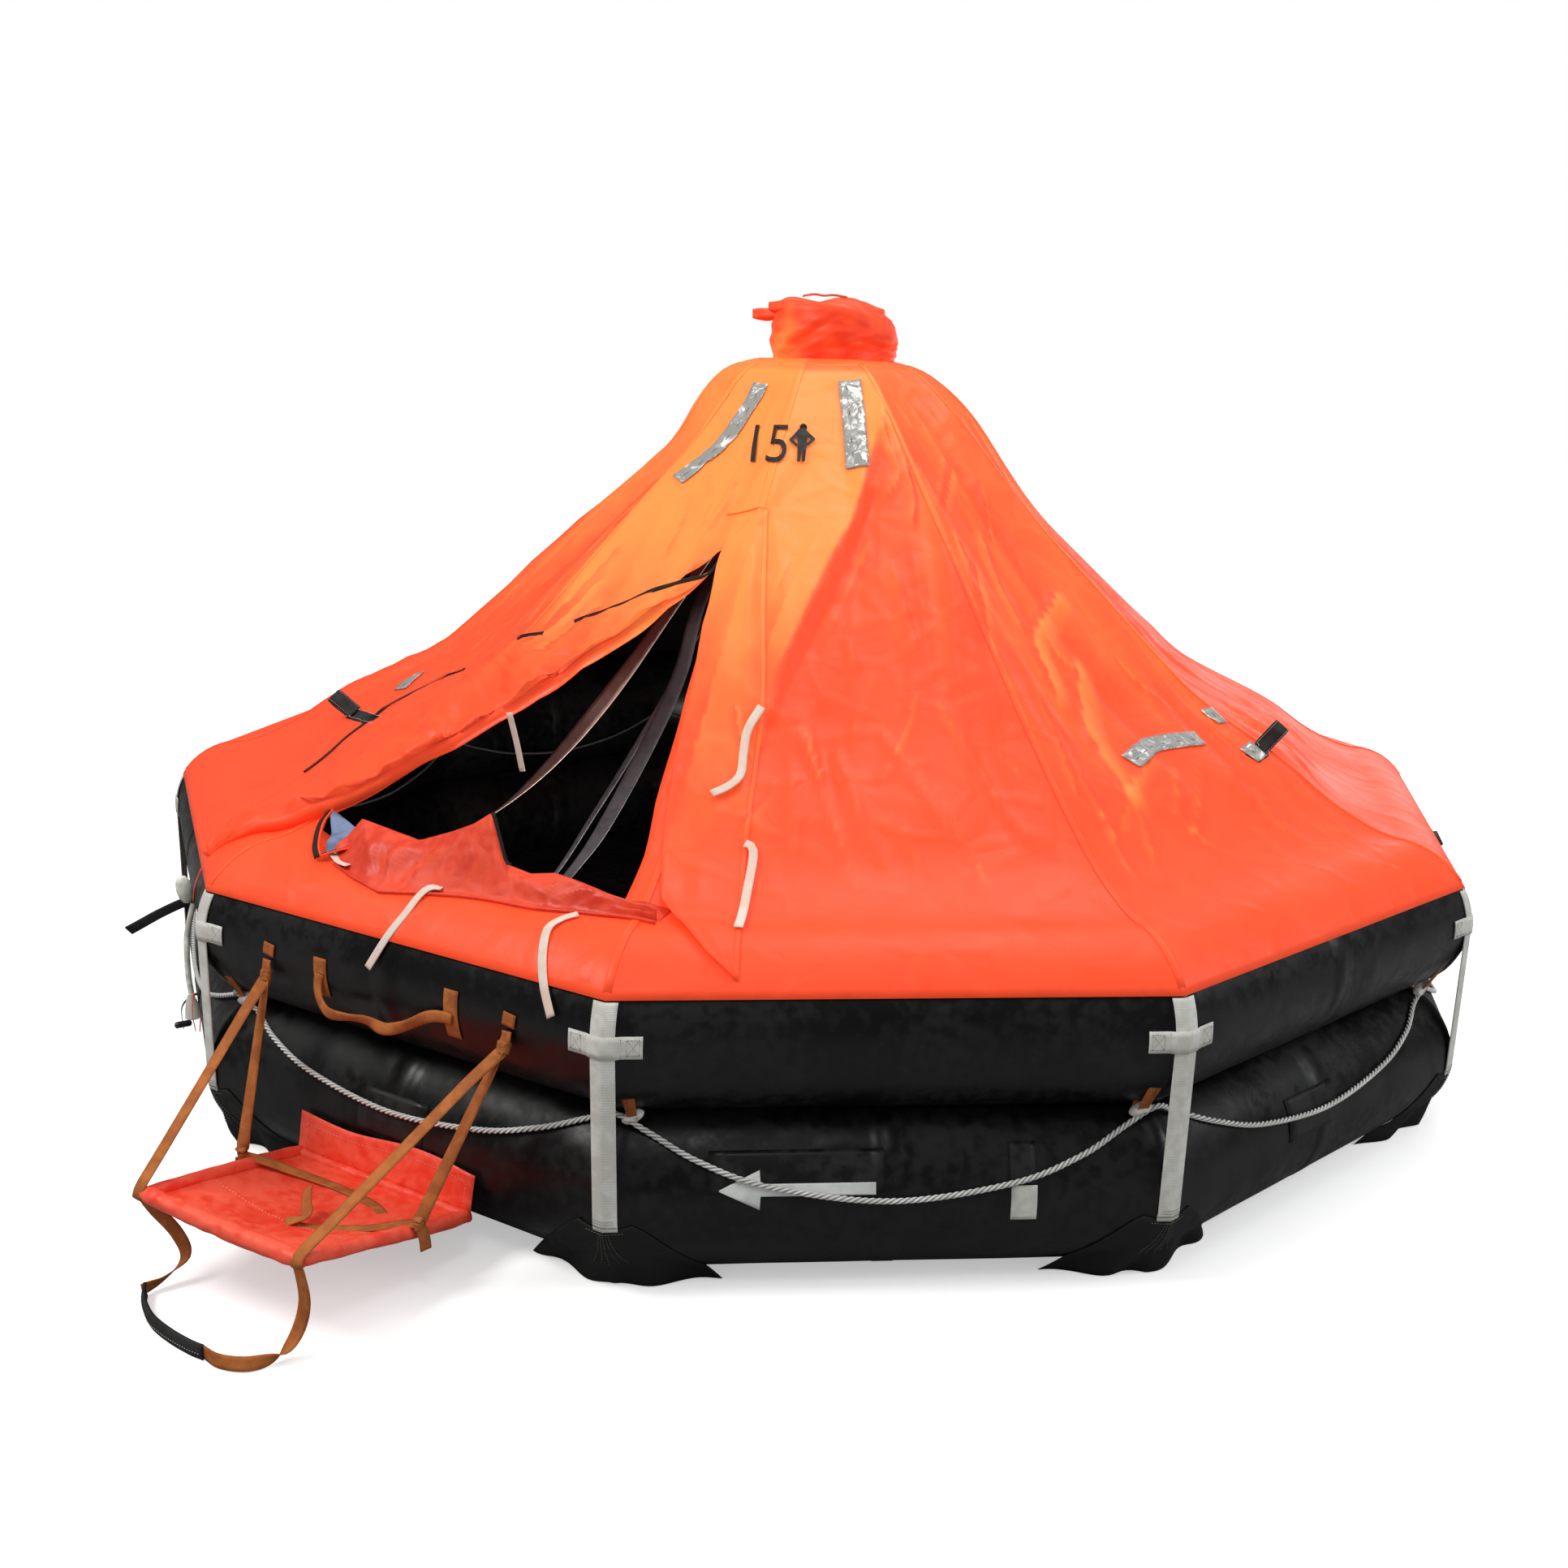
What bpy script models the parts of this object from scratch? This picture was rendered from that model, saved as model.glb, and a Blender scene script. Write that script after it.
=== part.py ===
"""Davit-launched inflatable life raft, standing on a floor.

Metres, +Z up.  The origin is the centre of the underside, on the floor.
The raft is a decagon: two stacked buoyancy tubes, an inflated floor, a peaked
canopy of ten sewn panels, two opposite doorways and the gear on the tubes.
Side 0 carries the boarding ramp and its doorway and faces -Y; sides are
numbered from there towards +X, and corner k lies between side k - 1 and side k.
"""
import math

import bmesh
import bpy
from mathutils import Matrix, Vector

# Decagon and tubes
SIDES = 10
TUBE_RADIUS = 0.18
TUBE_APOTHEM = 1.49
LOWER_TUBE_Z = 0.178
UPPER_TUBE_Z = 0.511
TUBE_SECTION_STEPS = 24
GAP = 0.0004
# Two faceted rounds touch a little closer than their full radii
FACET_SHRINK = 0.993

# Floor
FLOOR_TOP = 0.055

# Canopy: apothem and height of the outer surface inside the tube, on a ridge
CANOPY_THICKNESS = 0.004
CANOPY_EDGE_ANGLE = 60
CANOPY_RISE = [
    (1.430, 0.716), (1.330, 0.772), (1.200, 0.878), (1.066, 1.000), (0.945, 1.112),
    (0.824, 1.226), (0.697, 1.344), (0.569, 1.462), (0.401, 1.615), (0.285, 1.700),
    (0.225, 1.728), (0.172, 1.742), (0.147, 1.742),
]
SIDE_HOLLOW = 0.13
PANEL_SAG = 0.018

# Doorway outline on its panel: apothem and the share of the panel's half width
DOOR_OUTLINE = [
    (0.735, 0.72), (1.000, 0.80), (1.200, 0.86), (1.330, 0.90), (1.452, 0.90),
    (1.462, 0.84), (1.470, 0.20), (1.470, -0.62), (1.440, -0.86), (1.385, -0.93),
    (1.330, -0.84), (1.128, -0.44), (0.945, 0.06), (0.790, 0.56),
]

DOOR_CUT_LOW = 0.55
DOOR_CUT_HIGH = 1.60

# Chimney on the canopy's peak
CHIMNEY_RADIUS = 0.158
CHIMNEY_HEIGHT = 0.150
CHIMNEY_WALL = 0.006

# Webbing
STRAP_WIDTH = 0.050
STRAP_THICKNESS = 0.003
KEEPER_LENGTH = 0.150
KEEPER_WIDTH = 0.042
KEEPER_Z = 0.520
RAMP_WEBBING_WIDTH = 0.026
RAMP_WEBBING_THICKNESS = 0.003

# Lifelines: tied at every corner, with a swag of its own sag on each side
ROPE_DIAMETER = 0.012
ROPE_APOTHEM = 1.600
ROPE_CORNER_Z = 0.356
ROPE_SAGS = (0.114, 0.150, 0.127, 0.142, 0.120, 0.136, 0.125, 0.146, 0.132, 0.120)
INNER_ROPE_DIAMETER = 0.010
INNER_ROPE_Z = 0.511
INNER_ROPE_SAGS = (0.085, 0.070, 0.095, 0.080, 0.090, 0.075, 0.085, 0.095, 0.070, 0.090)
ROPE_FIRST_SIDE = 6
SWAG_SHARES = (0.06, 0.15, 0.28, 0.50, 0.72, 0.85, 0.94)
CHORD_CLEARANCE = 0.0022

# Boarding ramp, hung on side 0
RAMP_HANGER_X = 0.325
RAMP_HANGER_Y = -1.6691
RAMP_HANGER_Z = 0.505
TRAY_INNER = (-1.700, 0.098)
TRAY_OUTER = (-2.090, 0.190)
TRAY_INNER_HALF = 0.235
TRAY_OUTER_HALF = 0.205
TRAY_SHEET = 0.004
TRAY_HEM_RADIUS = 0.011
TRAY_FLAP_HEIGHT = 0.080

# Boarding ladder on the opposite side
LADDER_HALF_WIDTH = 0.222
LADDER_REACH = 2.130

# Gas cylinder
CYLINDER_RADIUS = 0.070
CYLINDER_LENGTH = 0.500
CYLINDER_SIDE = 6

HALF_STEP = math.pi / SIDES
COS_HALF = math.cos(HALF_STEP)
TAN_HALF = math.tan(HALF_STEP)

BLACK = (0.014, 0.015, 0.017, 1)
ORANGE = (0.90, 0.12, 0.025, 1)
WHITE = (0.62, 0.62, 0.60, 1)
TAN = (0.42, 0.14, 0.035, 1)
RED = (0.85, 0.07, 0.03, 1)
GREY = (0.25, 0.26, 0.28, 1)


def clear_scene():
    for old in list(bpy.data.objects):
        bpy.data.objects.remove(old, do_unlink=True)


def material(name, colour, roughness, metallic=0.0):
    found = bpy.data.materials.get(name)
    if found:
        return found
    made = bpy.data.materials.new(name)
    made.use_nodes = True
    shader = made.node_tree.nodes["Principled BSDF"]
    shader.inputs["Base Color"].default_value = colour
    shader.inputs["Roughness"].default_value = roughness
    shader.inputs["Metallic"].default_value = metallic
    made.diffuse_color = colour
    return made


def add_object(name, bm, mat, smooth=True):
    """Turn a bmesh into a named object with outward faces."""
    bmesh.ops.recalc_face_normals(bm, faces=bm.faces[:])
    mesh = bpy.data.meshes.new(name)
    bm.to_mesh(mesh)
    bm.free()
    obj = bpy.data.objects.new(name, mesh)
    bpy.context.collection.objects.link(obj)
    mesh.materials.append(mat)
    if smooth:
        mesh.shade_smooth()
        mesh.set_sharp_from_angle(angle=math.radians(30))
    return obj


def outward(azimuth):
    """Unit vector at an azimuth from -Y towards +X."""
    return Vector((math.sin(azimuth), -math.cos(azimuth), 0))


def along(azimuth):
    """Unit vector along a side, towards the next corner."""
    return Vector((math.cos(azimuth), math.sin(azimuth), 0))


def side_azimuth(side):
    return 2 * HALF_STEP * side


def corner_azimuth(corner):
    return 2 * HALF_STEP * corner - HALF_STEP


def bridge_rings(bm, rings, closed):
    """Quads between neighbouring rings of vertices."""
    count = len(rings)
    for i in range(count if closed else count - 1):
        a, b = rings[i], rings[(i + 1) % count]
        size = len(a)
        for j in range(size):
            k = (j + 1) % size
            bm.faces.new((a[j], a[k], b[k], b[j]))


def loft(name, sections, mat, closed=False, smooth=True):
    """Solid through a row of closed sections, capped unless it closes on itself."""
    bm = bmesh.new()
    rings = [[bm.verts.new(p) for p in section] for section in sections]
    bridge_rings(bm, rings, closed)
    if not closed:
        bm.faces.new(rings[0])
        bm.faces.new(rings[-1])
    return add_object(name, bm, mat, smooth)


def union(target, others):
    """Join touching solids into one body."""
    for other in others:
        cut = target.modifiers.new("join", "BOOLEAN")
        cut.operation = "UNION"
        cut.solver = "EXACT"
        cut.object = other
        other.hide_render = True
        other.display_type = "WIRE"


def tube_point(centre_z, angle, extra=0.0):
    """Apothem and height on a tube, the angle running outward from its top."""
    radius = TUBE_RADIUS + extra
    return (TUBE_APOTHEM + radius * math.sin(angle), centre_z + radius * math.cos(angle))


def make_tube(name, centre_z, low, high, mat):
    """Mitred decagonal ring, flattened at its contact and at the floor."""
    section = []
    for i in range(TUBE_SECTION_STEPS):
        apothem, z = tube_point(centre_z, 2 * math.pi * i / TUBE_SECTION_STEPS)
        section.append((apothem, min(max(z, low), high)))
    sections = []
    for corner in range(SIDES):
        out = outward(corner_azimuth(corner))
        sections.append([out * (a / COS_HALF) + Vector((0, 0, z)) for a, z in section])
    return loft(name, sections, mat, closed=True)


def tube_inner_apothem(z):
    """Apothem of the lower tube's faceted inner side at a height below its middle."""
    step = 2 * math.pi / TUBE_SECTION_STEPS
    facet = math.acos((z - LOWER_TUBE_Z) / TUBE_RADIUS) // step
    a = tube_point(LOWER_TUBE_Z, -facet * step)
    b = tube_point(LOWER_TUBE_Z, -(facet + 1) * step)
    return a[0] + (b[0] - a[0]) * (z - a[1]) / (b[1] - a[1])


def make_floor(mat):
    """Inflated mat between the lower tube's inner sides."""
    bevel = 0.012
    inner = tube_inner_apothem(FLOOR_TOP - bevel) - GAP
    crown = tube_inner_apothem(FLOOR_TOP) - 9 * GAP
    sections = []
    for z, apothem in ((0.0, inner - bevel), (bevel, inner), (FLOOR_TOP - bevel, inner),
                       (FLOOR_TOP, crown)):
        sections.append([outward(corner_azimuth(k)) * (apothem / COS_HALF) + Vector((0, 0, z))
                         for k in range(SIDES)])
    return loft("floor", sections, mat)


def canopy_profile():
    """Apothem and height of the canopy's outer surface, from its edge to the peak."""
    cover = CANOPY_THICKNESS + 0.0008
    rows = []
    for degrees in range(CANOPY_EDGE_ANGLE, -1, -15):
        rows.append(tube_point(UPPER_TUBE_Z, math.radians(degrees), cover))
    return rows + CANOPY_RISE


def hollow(z):
    """How much of the side hollow applies at a height."""
    rise = min(max((z - 0.80) / 0.20, 0), 1)
    fall = min(max((1.735 - z) / 0.10, 0), 1)
    return rise * rise * (3 - 2 * rise) * fall * fall * (3 - 2 * fall)


def ridge_apothem(corner, row):
    """Apothem of a ridge point: the canopy is fuller across sides 1 and 6."""
    apothem, z = row
    turn = corner_azimuth(corner) - side_azimuth(1)
    return apothem - SIDE_HOLLOW * COS_HALF * hollow(z) * math.sin(turn) ** 2


def profile_normals(rows):
    normals = []
    for i in range(len(rows)):
        a = rows[max(i - 1, 0)]
        b = rows[min(i + 1, len(rows) - 1)]
        run, rise = b[0] - a[0], b[1] - a[1]
        size = math.hypot(run, rise)
        normals.append((rise / size, -run / size))
    return normals


def canopy_point(side, index, share, lift):
    """Point of a canopy panel: a profile row, a share of the half width, a lift."""
    rows = canopy_profile()
    row = rows[index]
    corner = side if share < 0 else side + 1
    normal = profile_normals(rows)[index]
    blend = abs(share)
    apothem_ridge = ridge_apothem(corner, row)
    centre = (ridge_apothem(side, row) + ridge_apothem(side + 1, row)) / 2
    centre -= PANEL_SAG * hollow(row[1])
    apothem = centre + (apothem_ridge - centre) * blend + normal[0] * lift
    width = apothem * TAN_HALF - GAP
    azimuth = side_azimuth(side)
    spot = outward(azimuth) * apothem + along(azimuth) * (share * width)
    spot.z = row[1] + normal[1] * lift
    return spot


def panel_sheet(name, side, cells, shares, low, high, mat):
    """Closed sheet over a run of profile rows and a list of half-width shares."""
    bm = bmesh.new()
    top = [[bm.verts.new(canopy_point(side, i, s, high)) for s in shares] for i in cells]
    under = [[bm.verts.new(canopy_point(side, i, s, low)) for s in shares] for i in cells]
    last_row, last_col = len(cells) - 1, len(shares) - 1
    for i in range(last_row):
        for j in range(last_col):
            bm.faces.new((top[i][j], top[i][j + 1], top[i + 1][j + 1], top[i + 1][j]))
            bm.faces.new((under[i][j], under[i + 1][j], under[i + 1][j + 1], under[i][j + 1]))
    for j in range(last_col):
        for i in (0, last_row):
            bm.faces.new((top[i][j], top[i][j + 1], under[i][j + 1], under[i][j]))
    for i in range(last_row):
        for j in (0, last_col):
            bm.faces.new((top[i][j], top[i + 1][j], under[i + 1][j], under[i][j]))
    return add_object(name, bm, mat)


def door_cutter(side):
    """Upright prism over the doorway's outline."""
    azimuth = side_azimuth(side)
    sections = []
    for z in (DOOR_CUT_LOW, DOOR_CUT_HIGH):
        ring = []
        for apothem, share in DOOR_OUTLINE:
            spot = outward(azimuth) * apothem + along(azimuth) * (share * apothem * TAN_HALF)
            spot.z = z
            ring.append(spot)
        sections.append(ring)
    cutter = loft("door_cutter_%d" % side, sections, material("cutter", GREY, 0.5), smooth=False)
    cutter.hide_render = True
    cutter.display_type = "WIRE"
    return cutter


def make_canopy(mat):
    rows = len(canopy_profile())
    for side in range(SIDES):
        panel = panel_sheet("canopy_panel_%d" % side, side, range(rows), (-1, 0, 1),
                            -CANOPY_THICKNESS, 0.0, mat)
        if side in (0, SIDES // 2):
            cut = panel.modifiers.new("doorway", "BOOLEAN")
            cut.operation = "DIFFERENCE"
            cut.solver = "EXACT"
            cut.object = door_cutter(side)


def make_chimney(mat):
    """Gathered fabric sleeve over the lifting ring, closed on top, open below."""
    base = CANOPY_RISE[-1][1] + GAP
    top = base + CHIMNEY_HEIGHT
    radius, wall = CHIMNEY_RADIUS, CHIMNEY_WALL
    outer = [(radius, base), (radius + 0.004, base + 0.05), (radius + 0.002, top - 0.03),
             (radius - 0.012, top - 0.008), (radius - 0.04, top), (0, top + 0.004)]
    inner = [(0, top - wall), (radius - 0.042, top - wall), (radius - 0.018, top - 0.014),
             (radius - 0.006, top - 0.034), (radius - wall, base + 0.05), (radius - wall, base)]
    bm = bmesh.new()
    verts = [bm.verts.new((r, 0, z)) for r, z in outer + inner]
    edges = [bm.edges.new((verts[i], verts[(i + 1) % len(verts)])) for i in range(len(verts))]
    edges = [e for e in edges if not all(abs(v.co.x) < 1e-6 for v in e.verts)]
    bmesh.ops.spin(bm, geom=verts + edges, axis=(0, 0, 1), cent=(0, 0, 0), steps=24,
                   angle=2 * math.pi, use_duplicate=False)
    bmesh.ops.remove_doubles(bm, verts=bm.verts[:], dist=1e-5)
    loose = [e for e in bm.edges if not e.link_faces]
    bmesh.ops.delete(bm, geom=loose, context="EDGES")
    return add_object("chimney", bm, mat)


def ribbon(name, path, across, width, thickness, mat):
    """Flat webbing along a path; across is the direction of its width at each point."""
    sections = []
    for i, spot in enumerate(path):
        before = path[max(i - 1, 0)]
        after = path[min(i + 1, len(path) - 1)]
        heading = (Vector(after) - Vector(before)).normalized()
        wide = Vector(across[i]).normalized() * (width / 2)
        thin = heading.cross(wide).normalized() * (thickness / 2)
        spot = Vector(spot)
        sections.append([spot - wide - thin, spot + wide - thin, spot + wide + thin,
                         spot - wide + thin])
    return loft(name, sections, mat, smooth=False)


def make_bridle(mat):
    """Lifting webbing from a ring at the peak to the upper tube's inner side."""
    ring_z = 1.690
    hub = bmesh.new()
    bmesh.ops.create_cone(hub, cap_ends=True, segments=20, radius1=0.045, radius2=0.045,
                          depth=0.03, matrix=Matrix.Translation((0, 0, ring_z)))
    body = add_object("lifting_bridle", hub, mat)
    ends = []
    for k in range(5):
        ends.append((corner_azimuth(2 * k), tube_point(UPPER_TUBE_Z, math.radians(-50), 0.002)))
    parts = []
    for i, (azimuth, (apothem, z)) in enumerate(ends):
        out = outward(azimuth)
        start = out * 0.03 + Vector((0, 0, ring_z))
        end = out * ((apothem - 0.004) / COS_HALF) + Vector((0, 0, z))
        parts.append(ribbon("bridle_leg_%d" % i, [start, end], [along(azimuth)] * 2,
                            STRAP_WIDTH, STRAP_THICKNESS, mat))
    union(body, parts)
    return body


def corner_band(name, corner, path, half, thickness, mat):
    """Webbing wrapped over a mitred corner, following a list of apothem and height."""
    normals = profile_normals(path)
    sides = ((corner_azimuth(corner) - HALF_STEP, 1), (corner_azimuth(corner) + HALF_STEP, -1))
    layers = []
    for lift in (0.0, thickness):
        rows = []
        for (apothem, z), (n_out, n_up) in zip(path, normals):
            reach = apothem + n_out * lift
            height = Vector((0, 0, z + n_up * lift))
            points = []
            for j, (azimuth, sign) in enumerate(sides):
                edge = outward(azimuth) * reach + along(azimuth) * sign * (reach * TAN_HALF - half)
                points.append(edge + height)
                if j == 0:
                    ridge = outward(corner_azimuth(corner)) * (reach / COS_HALF)
                    points.append(ridge + height)
            rows.append(points)
        layers.append(rows)
    sections = []
    for low, high in zip(*layers):
        sections.append(low + high[::-1])
    return loft(name, sections, mat, smooth=False)


def make_corner_strap(corner, mat):
    """Upright strap over both tubes at a corner, with its keeper across it."""
    lift = 0.0012
    path = [tube_point(LOWER_TUBE_Z, math.radians(d), lift) for d in (100, 93, 87)]
    path += [tube_point(UPPER_TUBE_Z, math.radians(d), lift) for d in (94, 87, 77, 66)]
    strap = corner_band("corner_strap_%d" % corner, corner, path, STRAP_WIDTH / 2,
                        STRAP_THICKNESS, mat)
    half = KEEPER_WIDTH / 2
    angles = [math.acos((KEEPER_Z + dz - UPPER_TUBE_Z) / TUBE_RADIUS) for dz in (-half, 0, half)]
    band = [tube_point(UPPER_TUBE_Z, angle, lift) for angle in angles]
    keeper = corner_band("keeper_%d" % corner, corner, band, KEEPER_LENGTH / 2,
                         2 * STRAP_THICKNESS, mat)
    union(strap, [keeper])
    return strap


def make_ballast_pocket(corner, mat):
    """Slack water pocket: a cloth curtain from the lower tube's corner to the floor."""
    stations = ((-0.200, 0.2), (-0.140, 0.7), (0.0, 1.0), (0.140, 0.7), (0.200, 0.2))
    sections = []
    for offset, fullness in stations:
        rim = [tube_point(LOWER_TUBE_Z, math.radians(d), 0.0006) for d in (165, 150, 135, 120, 105)]
        foot = 1.560 + 0.045 * fullness
        top = (rim[-1][0] + 0.006, rim[-1][1] + 0.004)
        outline = rim + [top, (1.650 + 0.020 * fullness, 0.085), (foot + 0.008, 0.012),
                         (foot, 0.001), (rim[0][0], 0.001)]
        sign = -1 if offset < 0 else 1
        azimuth = corner_azimuth(corner) + sign * HALF_STEP
        section = []
        for apothem, z in outline:
            if offset == 0:
                spot = outward(corner_azimuth(corner)) * (apothem / COS_HALF)
            else:
                reach = sign * (abs(offset) - apothem * TAN_HALF)
                spot = outward(azimuth) * apothem + along(azimuth) * reach
            section.append(spot + Vector((0, 0, z)))
        sections.append(section)
    return loft("ballast_pocket_%d" % corner, sections, mat)


def make_cord(name, points, diameter, mat):
    """Round cord through a list of points."""
    curve = bpy.data.curves.new(name, "CURVE")
    curve.dimensions = "3D"
    curve.bevel_depth = diameter / 2
    curve.bevel_resolution = 2
    curve.use_fill_caps = True
    spline = curve.splines.new("POLY")
    spline.points.add(len(points) - 1)
    for slot, spot in zip(spline.points, points):
        slot.co = (*spot, 1)
    obj = bpy.data.objects.new(name, curve)
    bpy.context.collection.objects.link(obj)
    curve.materials.append(mat)
    return obj


def lifeline_route(apothem, corner_z, sags):
    """Swags from corner to corner, seven points to a side and one at each corner between."""
    length = 2 * apothem * TAN_HALF
    points = []
    for i in range(SIDES):
        side = (ROPE_FIRST_SIDE + i) % SIDES
        azimuth = side_azimuth(side)
        shares = SWAG_SHARES if i == 0 else (0.0,) + SWAG_SHARES
        for share in shares:
            drop = sags[side] * (1 - (2 * share - 1) ** 2)
            spot = outward(azimuth) * apothem + along(azimuth) * (share - 0.5) * length
            spot.z = corner_z - drop
            points.append(spot)
    return points


def make_lifelines(mat):
    # The swag hangs over the lower tube's bulge and its chords never cut into it.
    clear = TUBE_RADIUS + ROPE_DIAMETER / 2 + CHORD_CLEARANCE
    shaped = []
    for spot in lifeline_route(ROPE_APOTHEM, ROPE_CORNER_Z, ROPE_SAGS):
        height = spot.z - LOWER_TUBE_Z
        bulge = math.sqrt(max(clear ** 2 - height ** 2, 0))
        shaped.append(push_out(spot, max(TUBE_APOTHEM + bulge, ROPE_APOTHEM)))
    make_cord("lifeline", shaped, ROPE_DIAMETER, mat)
    inner_apothem = TUBE_APOTHEM - TUBE_RADIUS - INNER_ROPE_DIAMETER / 2
    inner = lifeline_route(inner_apothem, INNER_ROPE_Z, INNER_ROPE_SAGS)
    make_cord("inner_lifeline", inner, INNER_ROPE_DIAMETER, mat)


def push_out(spot, apothem):
    """Move a point outward so that its apothem on its own side is at least this."""
    azimuth = math.atan2(spot.x, -spot.y)
    side = round(azimuth / (2 * HALF_STEP))
    out = outward(side_azimuth(side))
    short = apothem - spot.dot(out)
    return spot + out * max(short, 0)


def make_ramp(cloth, webbing):
    """Cloth tray with tubular hems, hung in front of the doorway by webbing."""
    inner_y, inner_z = TRAY_INNER
    outer_y, outer_z = TRAY_OUTER
    corners = [Vector((-TRAY_INNER_HALF, inner_y, inner_z)),
               Vector((TRAY_INNER_HALF, inner_y, inner_z)),
               Vector((TRAY_OUTER_HALF, outer_y, outer_z)),
               Vector((-TRAY_OUTER_HALF, outer_y, outer_z))]
    normal = (corners[2] - corners[1]).cross(corners[1] - corners[0]).normalized()
    thin = normal * (TRAY_SHEET / 2)
    tray = loft("boarding_ramp_tray", [[c - thin for c in corners], [c + thin for c in corners]],
                cloth, smooth=False)
    hems = []
    for i in range(4):
        start, end = corners[i], corners[(i + 1) % 4]
        overrun = (end - start).normalized() * TRAY_HEM_RADIUS * 0.5
        hems.append(rod("tray_hem_%d" % i, start - overrun, end + overrun, TRAY_HEM_RADIUS, cloth))
    flap_y = inner_y + TRAY_HEM_RADIUS / 2
    flap = block("tray_flap", 0, (-TRAY_INNER_HALF, flap_y, inner_z),
                 (TRAY_INNER_HALF, flap_y + TRAY_SHEET, inner_z + TRAY_FLAP_HEIGHT), cloth)
    union(tray, hems + [flap])

    wide = Vector((1, 0, 0))
    beside = TRAY_HEM_RADIUS + RAMP_WEBBING_WIDTH / 2 + GAP
    for sign, word in ((-1, "left"), (1, "right")):
        top = Vector((sign * RAMP_HANGER_X, RAMP_HANGER_Y, RAMP_HANGER_Z))
        outer = Vector((sign * (TRAY_OUTER_HALF + beside), outer_y, outer_z))
        middle = (corners[0] + corners[3]) / 2
        beside_hem = Vector((sign * (abs(middle.x) + beside), middle.y, middle.z))
        path = [outer, outer.lerp(top, 0.5), outer.lerp(top, 0.90),
                top + Vector((0, -0.010, -0.001)), top + Vector((0, -0.002, -0.002)),
                top + Vector((0, -0.001, -0.012)), beside_hem.lerp(top, 0.88),
                beside_hem.lerp(top, 0.5), beside_hem]
        ribbon("boarding_ramp_webbing_" + word, path, [wide] * len(path),
               RAMP_WEBBING_WIDTH, RAMP_WEBBING_THICKNESS, webbing)
    make_foot_loop(corners[3], corners[2], webbing)


def make_foot_loop(left, right, webbing):
    """Stirrup of webbing below the tray's outer hem, its bight on the floor."""
    drop = TRAY_HEM_RADIUS + 0.001
    rest = RAMP_WEBBING_WIDTH / 2 + 0.001
    path = [left + Vector((0.01, 0, -drop)), (-0.225, -2.070, 0.110), (-0.255, -2.000, 0.050),
            (-0.235, -2.010, rest), (-0.205, -2.110, rest), (-0.120, -2.165, rest),
            (0.030, -2.185, rest), (0.125, -2.160, rest), (0.175, -2.095, rest),
            (0.185, -2.080, 0.070), right + Vector((-0.01, 0, -drop))]
    upright = Vector((0, 0, 1))
    across = [upright] * len(path)
    across[1] = Vector((0.4, 0.5, 0.8))
    across[2] = Vector((0.3, 0.6, 0.7))
    across[9] = Vector((1, 0.3, 0.3))
    across[0] = across[10] = Vector((1, 0, 0))
    ribbon("boarding_ramp_foot_loop", path, across, RAMP_WEBBING_WIDTH - 0.004,
           RAMP_WEBBING_THICKNESS, webbing)


def turned(side, x, y, z):
    """Place a point given for side 0 at another side."""
    return Matrix.Rotation(side_azimuth(side), 4, "Z") @ Vector((x, y, z))


def block(name, side, low, high, mat):
    """Plate with its faces along side 0's axes, turned to another side."""
    sections = []
    for z in (low[2], high[2]):
        sections.append([turned(side, x, y, z) for x, y in
                         ((low[0], low[1]), (high[0], low[1]), (high[0], high[1]),
                          (low[0], high[1]))])
    return loft(name, sections, mat, smooth=False)


def make_grab_handle(side, mat):
    """Slack webbing handle between two stitched patches on the upper tube."""
    face = TUBE_APOTHEM + TUBE_RADIUS + GAP
    path = [(-0.190, 0.003, 0.500), (-0.165, 0.003, 0.495), (-0.110, 0.022, 0.468),
            (0.0, 0.030, 0.455), (0.110, 0.022, 0.468), (0.165, 0.003, 0.495),
            (0.190, 0.003, 0.500)]
    spots = [turned(side, x, -face - off, z) for x, off, z in path]
    handle = ribbon("grab_handle_%d" % side, spots, [Vector((0, 0, 1))] * len(path),
                    0.032, STRAP_THICKNESS, mat)
    patches = []
    for sign in (-1, 1):
        low = (sign * 0.178 - 0.018, -face - 0.004, 0.462)
        high = (sign * 0.178 + 0.018, -face, 0.542)
        patches.append(block("handle_patch_%d_%d" % (side, sign), side, low, high, mat))
    union(handle, patches)
    return handle


def patch_on_panel(name, side, spans, low, high, mat):
    """Loose cloth lying on a panel: profile row, then its two shares of the width."""
    bm = bmesh.new()
    layers = []
    for lift in (low, high):
        rows = []
        for index, start, end in spans:
            shares = [start + (end - start) * j / 3 for j in range(4)]
            rows.append([bm.verts.new(canopy_point(side, index, s, lift)) for s in shares])
        layers.append(rows)
    under, top = layers
    last = len(spans) - 1
    for i in range(last):
        for j in range(3):
            for sheet in (under, top):
                bm.faces.new((sheet[i][j], sheet[i][j + 1], sheet[i + 1][j + 1], sheet[i + 1][j]))
        for j in (0, 3):
            bm.faces.new((under[i][j], under[i + 1][j], top[i + 1][j], top[i][j]))
    for j in range(3):
        for i in (0, last):
            bm.faces.new((under[i][j], under[i][j + 1], top[i][j + 1], top[i][j]))
    return add_object(name, bm, mat)


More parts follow.
